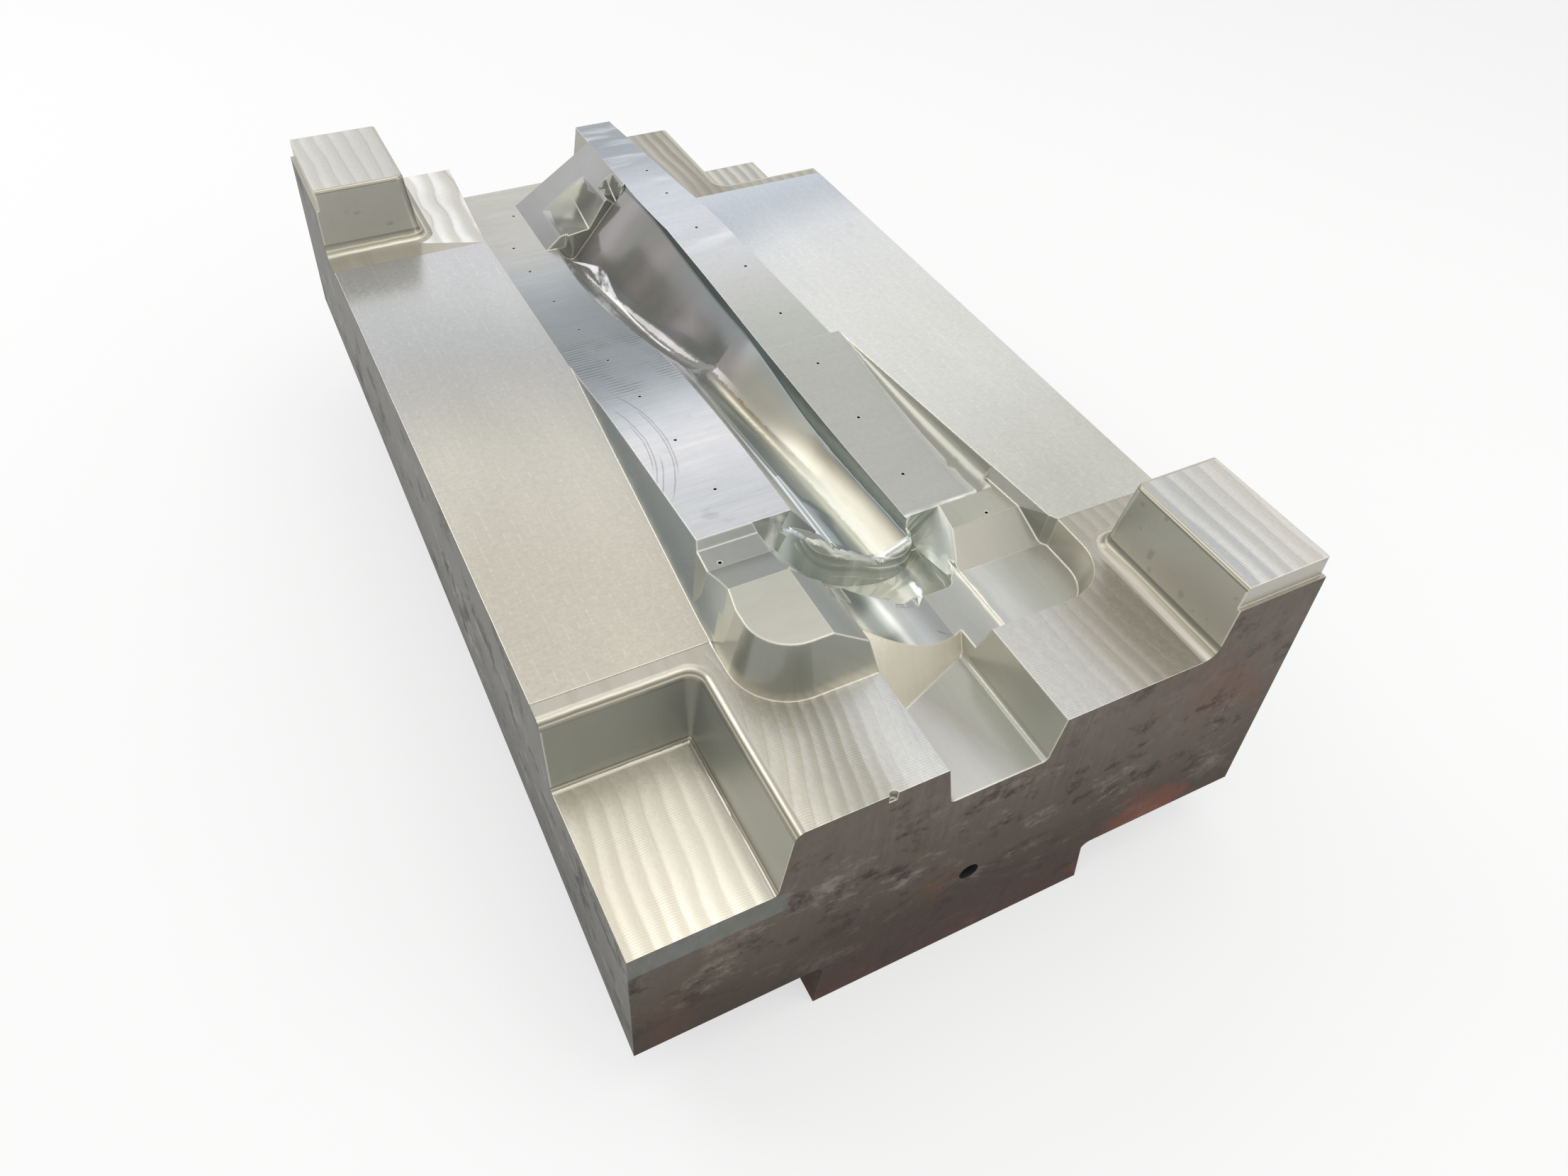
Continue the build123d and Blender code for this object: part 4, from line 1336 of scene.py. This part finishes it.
    def dress(self, skin: bpy.types.Object) -> None:
        """Gives every zone its finish.

        Args:
            skin: The block's skin.
        """
        for zone in Zone:
            skin.data.materials.append(self.finishes[zone].material())
        found = self.zones(skin.data)
        skin.data.polygons.foreach_set("material_index", found)
        self.soften(skin.data, np.isin(found, (Zone.HOLLOW.value, Zone.BOWL.value)))
        skin.data.update()
        for zone in Zone:
            log.info("%s: %d faces", zone.name.lower(), int((found == zone.value).sum()))


def block_finishes() -> dict[Zone, Finish]:
    """The finish of each zone.

    Returns:
        One finish for every zone.
    """
    # The tones along each plateau are painted reflections: light and dark bands along the block.
    left = GroundSteel("left_plateau", blend(
        (170.0, 201, 195, 181), (330.0, 204, 200, 189), (420.0, 190, 188, 181),
        (500.0, 184, 184, 184), (600.0, 199, 200, 200), (700.0, 205, 205, 207),
        (790.0, 198, 199, 200)), 0.35, rough=0.22)
    right = GroundSteel("right_plateau", blend(
        (170.0, 197, 196, 188), (290.0, 210, 211, 205), (420.0, 217, 218, 213),
        (600.0, 218, 220, 221), (690.0, 192, 198, 206), (790.0, 210, 216, 224)),
        -0.2, rough=0.24)
    return {
        Zone.LEFT_PLATEAU: left,
        Zone.RIGHT_PLATEAU: right,
        Zone.POCKET_FLOOR: CutterBands("pocket_floor", blend(
            (-280.0, 194, 188, 171), (-230.0, 202, 196, 180), (-160.0, 196, 192, 178),
            (170.0, 174, 174, 168)),
            tone(230, 225, 210), tone(176, 170, 153), 15.5, 0.9, 0.0004, 112.0, strength=0.65),
        Zone.HEEL_TOP: CutterBands("heel_top", blend(
            (-280.0, 200, 198, 192), (195.0, 180, 182, 182), (280.0, 202, 198, 190)),
            tone(228, 226, 220), tone(166, 165, 162), 16.0, 0.9, 0.0, seed=3.0, strength=0.75),
        Zone.LEFT_MILLED: CutterBands("left_milled_zone", blend(
            (-146.0, 180, 176, 162), (-120.0, 156, 153, 141), (-90.0, 160, 158, 148),
            (-62.0, 192, 192, 189), (-40.0, 184, 185, 184)),
            tone(206, 205, 199), tone(146, 144, 136), 12.5, 1.2, 0.0024, 92.0, seed=5.0, strength=0.65),
        Zone.BACK_MILLED: CutterBands("back_milled_zone", blend(
            (-170.0, 222, 220, 213), (-130.0, 206, 204, 196), (-80.0, 200, 199, 192)),
            tone(252, 252, 250), tone(158, 155, 145), 21.0, 1.8, 0.0, seed=12.0, strength=0.95),
        Zone.RIGHT_MILLED: CutterBands("right_milled_zone", blend(
            (55.0, 190, 189, 186), (100.0, 180, 179, 174), (122.0, 164, 160, 149),
            (145.0, 152, 147, 134), (175.0, 166, 162, 150), (200.0, 170, 166, 154)),
            tone(204, 201, 192), tone(146, 142, 131), 14.0, 0.8, 0.0005, seed=8.0, strength=0.55),
        Zone.LEFT_LAND: LeftLand(),
        Zone.RIGHT_LAND: RightLand(),
        Zone.PAD: ShadedSteel("pad", blend(
            (93.0, 191, 188, 177), (175.0, 182, 181, 170)),
            ALONG, 0.3, 0.08, lines=(0.4, 1.0, 1.0)),
        Zone.BENCH: ShadedSteel("bench", blend(
            (-143.0, 156, 158, 152), (-60.0, 150, 152, 148), (84.0, 168, 169, 158),
            (175.0, 176, 175, 162)), rough=0.26),
        Zone.STEP: ShadedSteel("step", blend(
            (-143.0, 150, 152, 146), (-60.0, 140, 143, 139), (84.0, 158, 156, 145),
            (175.0, 146, 145, 136)), rough=0.26, drift=30.0),
        # The bright cream line at 80 to 85 mm across the basin is a painted highlight.
        Zone.BASIN: ShadedSteel("basin", blend(
            (42.0, 168, 169, 163), (79.5, 182, 183, 177), (81.0, 238, 235, 220),
            (83.5, 238, 235, 220), (85.0, 190, 191, 186), (96.0, 198, 199, 194),
            (120.0, 176, 177, 168), (175.0, 162, 159, 147)), drift=2.5, drift_scale=40.0),
        Zone.POCKET_WALL: ShadedSteel("pocket_wall", blend(
            (-68.0, 172, 171, 158), (-56.0, 150, 152, 143), (0.0, 142, 143, 135)),
            UPWARDS, 0.3, 0.05, drift=8.0, metallic=0.35),
        Zone.HEEL_WALL: ShadedSteel("heel_wall", blend(
            (0.0, 182, 177, 162), (24.0, 168, 166, 155), (67.0, 174, 172, 161)),
            UPWARDS, 0.28, 0.05, drift=8.0, fleck=0.2),
        Zone.PAD_WALL: ShadedSteel("pad_wall", blend(
            (-24.0, 160, 159, 147), (0.0, 196, 191, 173), (10.0, 154, 154, 143),
            (47.0, 144, 146, 137)),
            UPWARDS, 0.22, 0.06, drift=7.0, drift_scale=18.0),
        Zone.SINK_WALL: ShadedSteel("sink_wall", blend(
            (-30.0, 176, 174, 161), (-16.0, 150, 150, 140), (-6.0, 160, 159, 148),
            (23.0, 150, 152, 148)),
            UPWARDS, 0.22, 0.10, lines=(0.2, 0.1, 1.4), drift=3.0),
        Zone.END_WALL: ShadedSteel("end_wall", blend(
            (-143.0, 142, 144, 138), (-60.0, 134, 138, 134), (72.0, 206, 206, 201),
            (170.0, 190, 189, 181)),
            ACROSS, 0.2, 0.12),
        Zone.ROUNDED: RolledBorder(),
        Zone.HOLLOW: HollowSteel(),
        Zone.BOWL: BowlSteel(),
        # The white line at 8 mm and the light and dark bands beside it are painted reflections.
        Zone.RUNOFF: ShadedSteel("runoff", blend(
            (-78.0, 150, 152, 146), (-52.0, 134, 139, 134), (-40.0, 150, 152, 144),
            (-34.0, 186, 186, 174), (-26.0, 124, 130, 126), (-8.0, 140, 145, 142),
            (2.0, 214, 217, 217), (8.0, 255, 255, 255), (14.0, 214, 217, 216),
            (30.0, 186, 190, 190), (48.0, 152, 155, 152), (83.0, 166, 168, 160)),
            (1.0, 0.1, 0.0), 0.2, 0.10, lines=(1.0, 0.04, 0.3), drift=2.5, drift_scale=20.0),
        Zone.INCLINE: ShadedSteel("incline", blend(
            (798.0, 120, 121, 118), (850.0, 136, 137, 136), (908.0, 144, 145, 144)),
            ALONG, 0.24),
        # The dark middle of the facets is a painted reflection.
        Zone.FACET: ShadedSteel("facet", blend(
            (798.0, 146, 145, 134), (826.0, 102, 103, 96), (865.0, 124, 123, 112)),
            (0.4, 1.0, 0.0), 0.12, 0.05, drift=20.0, drift_scale=30.0),
        # The darker band across the trough, along a slant, is painted shade.
        Zone.TROUGH: ShadedSteel("trough", blend(
            (-62.0, 188, 187, 178), (-34.0, 196, 195, 188), (5.0, 188, 187, 183),
            (24.0, 169, 168, 159), (32.0, 168, 168, 159), (57.0, 178, 178, 167)),
            (1.0, 0.25, 0.0), 0.22, 0.08, lines=(1.0, 0.1, 1.0)),
        # The near-white tone of the leaning end is a painted reflection.
        Zone.LEANING: ShadedSteel("leaning_end", blend(
            (-44.0, 244, 237, 220), (10.0, 250, 243, 227), (30.0, 230, 223, 205),
            (56.0, 252, 246, 230)),
            (1.0, 0.0, 0.6), 0.26, 0.08, lines=(1.0, 0.3, 0.3), metallic=0.5),
        Zone.SIDE: ForgedSkin("forged_side", blend(
            (-206.0, 100, 99, 94), (-110.0, 118, 117, 112), (-60.0, 126, 125, 121),
            (60.0, 122, 121, 117)),
            tone(66, 66, 63), tone(150, 150, 145), tone(104, 78, 66), 0.2, 0.65),
        Zone.FRONT: ForgedSkin("forged_front", blend(
            (-206.0, 66, 56, 48), (-150.0, 80, 70, 61), (-60.0, 100, 91, 83),
            (60.0, 104, 95, 87)),
            tone(52, 46, 41), tone(134, 128, 118), tone(122, 70, 52), 0.75, 0.8, saw=0.7, milled_strip=True),
        Zone.UNDER: ForgedSkin("forged_under", blend(
            (-206.0, 78, 71, 66), (-120.0, 82, 77, 73)),
            tone(58, 54, 52), tone(106, 101, 96), tone(96, 66, 54), 0.5),
        Zone.FOOT: ForgedSkin("primed_foot", blend(
            (-259.0, 72, 54, 47), (-190.0, 66, 55, 49)),
            tone(44, 39, 37), tone(98, 80, 70), tone(136, 68, 52), 0.75, 0.4),
        # The dark tone inside the bores is painted shade.
        Zone.BORE: ShadedSteel("bore", blend(
            (0.0, 50, 49, 48), (1.0, 62, 61, 60)),
            (0.0, 0.0, 0.0), 0.5, edges=Edges(strength=0.0)),
        Zone.BANK: ShadedSteel("bank_wall", blend(
            (0.0, 150, 154, 152), (7.0, 116, 124, 125), (30.0, 128, 136, 137)),
            UPWARDS, 0.26, 0.06, lines=(1.0, 0.5, 0.2), drift=4.0, drift_scale=60.0),
        Zone.CHANNEL: ShadedSteel("channel_wall", blend(
            (-39.0, 150, 148, 139), (-20.0, 124, 124, 118), (0.0, 162, 160, 150)),
            UPWARDS, 0.26, 0.08),
    }


@dataclass
class GaugeRims:
    """The fine bright rims that drilling left round the small gauge holes, laid by a node tree."""

    places: list[tuple[Vector, Vector]]
    radius: float = 0.00162
    wall: float = 0.00014
    sizes: Span = (0.99, 1.04)
    path_corners: int = 28
    wall_corners: int = 8
    seed: int = 7
    name: str = "gauge_rims"

    def finish(self) -> bpy.types.Material:
        """Builds the bright steel of the rims.

        Returns:
            The material.
        """
        board = Board("bright_rim")
        glint = board.noise(900.0, 1.0, seed=71.0)
        colour = board.scale(tone(222, 222, 218), 1.0 + (glint - 0.5) * 0.2)
        return board.finish(colour, 0.25, 0.7)

    def tree(self) -> bpy.types.NodeTree:
        """Builds the node tree that lays one rim on every point.

        Returns:
            The tree, which takes points, a radius, a seed and a finish.
        """
        group = bpy.data.node_groups.new("lay_rims", "GeometryNodeTree")
        named = {"Points": "Geometry", "Rim radius": "Float", "Seed": "Int", "Finish": "Material"}
        for name, kind in named.items():
            group.interface.new_socket(name, in_out="INPUT", socket_type="NodeSocket" + kind)
        group.interface.new_socket("Rims", in_out="OUTPUT", socket_type="NodeSocketGeometry")
        tree = Tree(group)
        given = tree.add("NodeGroupInput", {}, [])
        points, radius, seed, finish = (Signal(tree, given.outputs[name]) for name in named)
        circle = "GeometryNodeCurvePrimitiveCircle"
        path = tree.node(circle, {}, {"Resolution": self.path_corners, "Radius": radius})
        section = tree.node(circle, {}, {"Resolution": self.wall_corners, "Radius": self.wall})
        ring = tree.node("GeometryNodeCurveToMesh", {}, {"Curve": path, "Profile Curve": section})
        facing = tree.node("GeometryNodeInputNamedAttribute", {"data_type": "FLOAT_VECTOR"},
                           {"Name": "facing"}, "Attribute")
        turn = tree.node("FunctionNodeAlignRotationToVector", {"axis": "Z"}, {"Vector": facing})
        least, most = self.sizes
        size = tree.node("FunctionNodeRandomValue", {"data_type": "FLOAT"},
                         {2: least, 3: most, "Seed": seed}, 1)
        laid = tree.node("GeometryNodeInstanceOnPoints", {}, {
            "Points": points, "Instance": ring, "Rotation": turn, "Scale": size})
        whole = tree.node("GeometryNodeRealizeInstances", {}, {"Geometry": laid})
        coated = tree.node("GeometryNodeSetMaterial", {}, {"Geometry": whole, "Material": finish})
        tree.add("NodeGroupOutput", {}, {"Rims": coated})
        return group

    def build(self) -> bpy.types.Object:
        """Lays the rims and turns them into one mesh.

        Returns:
            The rims as one object.
        """
        mesh = bpy.data.meshes.new("gauge_points")
        mesh.from_pydata([place for place, _ in self.places], [], [])
        facing = mesh.attributes.new("facing", "FLOAT_VECTOR", "POINT")
        ways = np.array([way for _, way in self.places], np.float32)
        facing.data.foreach_set("vector", ways.reshape(-1))
        holder = bpy.data.objects.new("gauge_points", mesh)
        bpy.context.scene.collection.objects.link(holder)
        modifier = holder.modifiers.new("rims", "NODES")
        modifier.node_group = self.tree()
        values = {"Rim radius": self.radius, "Seed": self.seed, "Finish": self.finish()}
        for item in modifier.node_group.interface.items_tree:
            if item.item_type == "SOCKET" and item.name in values:
                modifier[item.identifier] = values[item.name]
        shown = holder.evaluated_get(bpy.context.evaluated_depsgraph_get())
        rims = bpy.data.meshes.new_from_object(shown)
        holder.modifiers.remove(modifier)
        bpy.data.objects.remove(holder)
        rims.polygons.foreach_set("use_smooth", np.ones(len(rims.polygons), bool))
        made = bpy.data.objects.new(self.name, rims)
        bpy.context.scene.collection.objects.link(made)
        return made


@dataclass
class Studio:
    """The pale floor, the soft light and the camera."""

    floor_size: float = 80.0
    floor_colour: Colour = (0.96, 0.96, 0.96)
    floor_roughness: float = 0.9
    floor_glow: float = 0.62
    sky_strength: float = 0.62
    focal_pixels: float = 1709.65
    centre_pixels: tuple[float, float] = (1082.34, 724.95)
    sensor: float = 36.0
    right: Direction = (0.8916, -0.4511, 0.0392)
    up: Direction = (0.2818, 0.6206, 0.7318)
    back: Direction = (-0.3544, -0.6415, 0.6804)
    eye: Direction = (-0.39333, -0.83459, 0.93361)
    aim: Direction = (0.0, 0.0, 0.2)

    def camera(self) -> None:
        """Sets the camera where the photograph was taken from."""
        data = bpy.data.cameras.new("camera")
        width, height = PHOTO_SIZE
        data.sensor_fit = "HORIZONTAL"
        data.sensor_width = self.sensor
        data.lens = self.focal_pixels / width * self.sensor
        data.shift_x = -(self.centre_pixels[0] - width / 2) / width
        data.shift_y = (self.centre_pixels[1] - height / 2) / width
        data.clip_start = 0.01
        cam = bpy.data.objects.new("camera", data)
        columns = zip(self.right, self.up, self.back, self.eye)
        cam.matrix_world = Matrix([*map(list, columns), [0.0, 0.0, 0.0, 1.0]])
        bpy.context.scene.collection.objects.link(cam)
        bpy.context.scene.camera = cam

    def floor(self) -> None:
        """Lays a large pale floor under the block."""
        half = self.floor_size / 2
        mesh = bpy.data.meshes.new("floor")
        corners = [(-half, -half, 0.0), (half, -half, 0.0), (half, half, 0.0), (-half, half, 0.0)]
        mesh.from_pydata(corners, [], [(0, 1, 2, 3)])
        floor = bpy.data.objects.new("floor", mesh)
        mesh.materials.append(self.floor_finish())
        bpy.context.scene.collection.objects.link(floor)

    def floor_finish(self) -> bpy.types.Material:
        """A white floor that keeps the block's shadow.

        Returns:
            The material.
        """
        board = Board("white_floor")
        matte = board.node("ShaderNodeBsdfPrincipled", {}, {
            "Base Color": (*self.floor_colour, 1.0), "Roughness": self.floor_roughness})
        white = board.node("ShaderNodeEmission", {}, {"Color": WHITE, "Strength": 1.0})
        share = self.seen(board) * self.floor_glow
        return board.close(board.node("ShaderNodeMixShader", {}, [share, matte, white]))

    @staticmethod
    def seen(tree: Tree) -> Signal:
        """Finds out what looks at a surface.

        Args:
            tree: The tree that the signal is for.

        Returns:
            A signal that is 1 where the camera, a glossy surface or clear glass looks.
        """
        rays = tree.add("ShaderNodeLightPath", {}, [])
        camera = Signal(tree, rays.outputs["Is Camera Ray"])
        glossy = Signal(tree, rays.outputs["Is Glossy Ray"])
        clear = Signal(tree, rays.outputs["Is Transmission Ray"])
        return camera.math("MAXIMUM", glossy).math("MAXIMUM", clear)

    def lamp(self, name: str, place: Direction, size: Span, power: float, colour: Colour) -> None:
        """Hangs one soft lamp that looks at the middle of the block.

        Args:
            name: The lamp's name.
            place: Where it hangs.
            size: The two sides of its panel.
            power: Its power in watts.
            colour: Its colour.
        """
        data = bpy.data.lights.new(name, "AREA")
        data.shape = "RECTANGLE"
        data.size, data.size_y = size
        data.energy = power
        data.color = colour
        lamp = bpy.data.objects.new(name, data)
        spot = Vector(place)
        lamp.rotation_mode = "QUATERNION"
        lamp.rotation_quaternion = (Vector(self.aim) - spot).to_track_quat("-Z", "Y")
        lamp.location = spot
        bpy.context.scene.collection.objects.link(lamp)

    def sky(self) -> None:
        """Gives the camera and glossy surfaces a white surrounding, and the rest a softer one."""
        world = bpy.data.worlds.new("studio")
        bpy.context.scene.world = world
        world.use_nodes = True
        tree = Tree(world.node_tree)
        inputs = [self.seen(tree), 0.0, 1.0, self.sky_strength, 1.0]
        strength = tree.node("ShaderNodeMapRange", {}, inputs)
        shade = tree.node("ShaderNodeBackground", {}, {"Color": WHITE, "Strength": strength})
        tree.add("ShaderNodeOutputWorld", {}, {"Surface": shade})

    def build(self) -> None:
        """Sets up everything round the block."""
        self.camera()
        self.floor()
        self.sky()
        self.lamp("window", (-1.6, 1.9, 2.2), (2.4, 1.4), 26.0, (1.0, 1.0, 1.0))
        self.lamp("ceiling", (0.4, -0.3, 2.6), (2.0, 2.0), 16.0, (1.0, 0.99, 0.97))
        self.lamp("fill", (1.4, -1.9, 1.2), (1.6, 1.2), 8.0, (1.0, 0.98, 0.95))


def main() -> None:
    """Builds the block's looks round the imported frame."""
    logging.basicConfig(level=logging.INFO, format="%(message)s")
    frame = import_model()
    Studio().build()
    block = MouldBlock(finishes=block_finishes())
    skin = block.skin(frame["nodes"][NODE_NAME])
    block.dress(skin)
    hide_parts(NODE_NAME)
    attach(skin, "root")
    rims = GaugeRims(block.rim_places(skin)).build()
    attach(rims, "root")
    bpy.context.scene.view_settings.view_transform = "Standard"
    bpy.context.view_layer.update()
    for piece in (skin, rims):
        log.info("%s: %d faces", piece.name, len(piece.data.polygons))


if __name__ == "__main__":
    main()
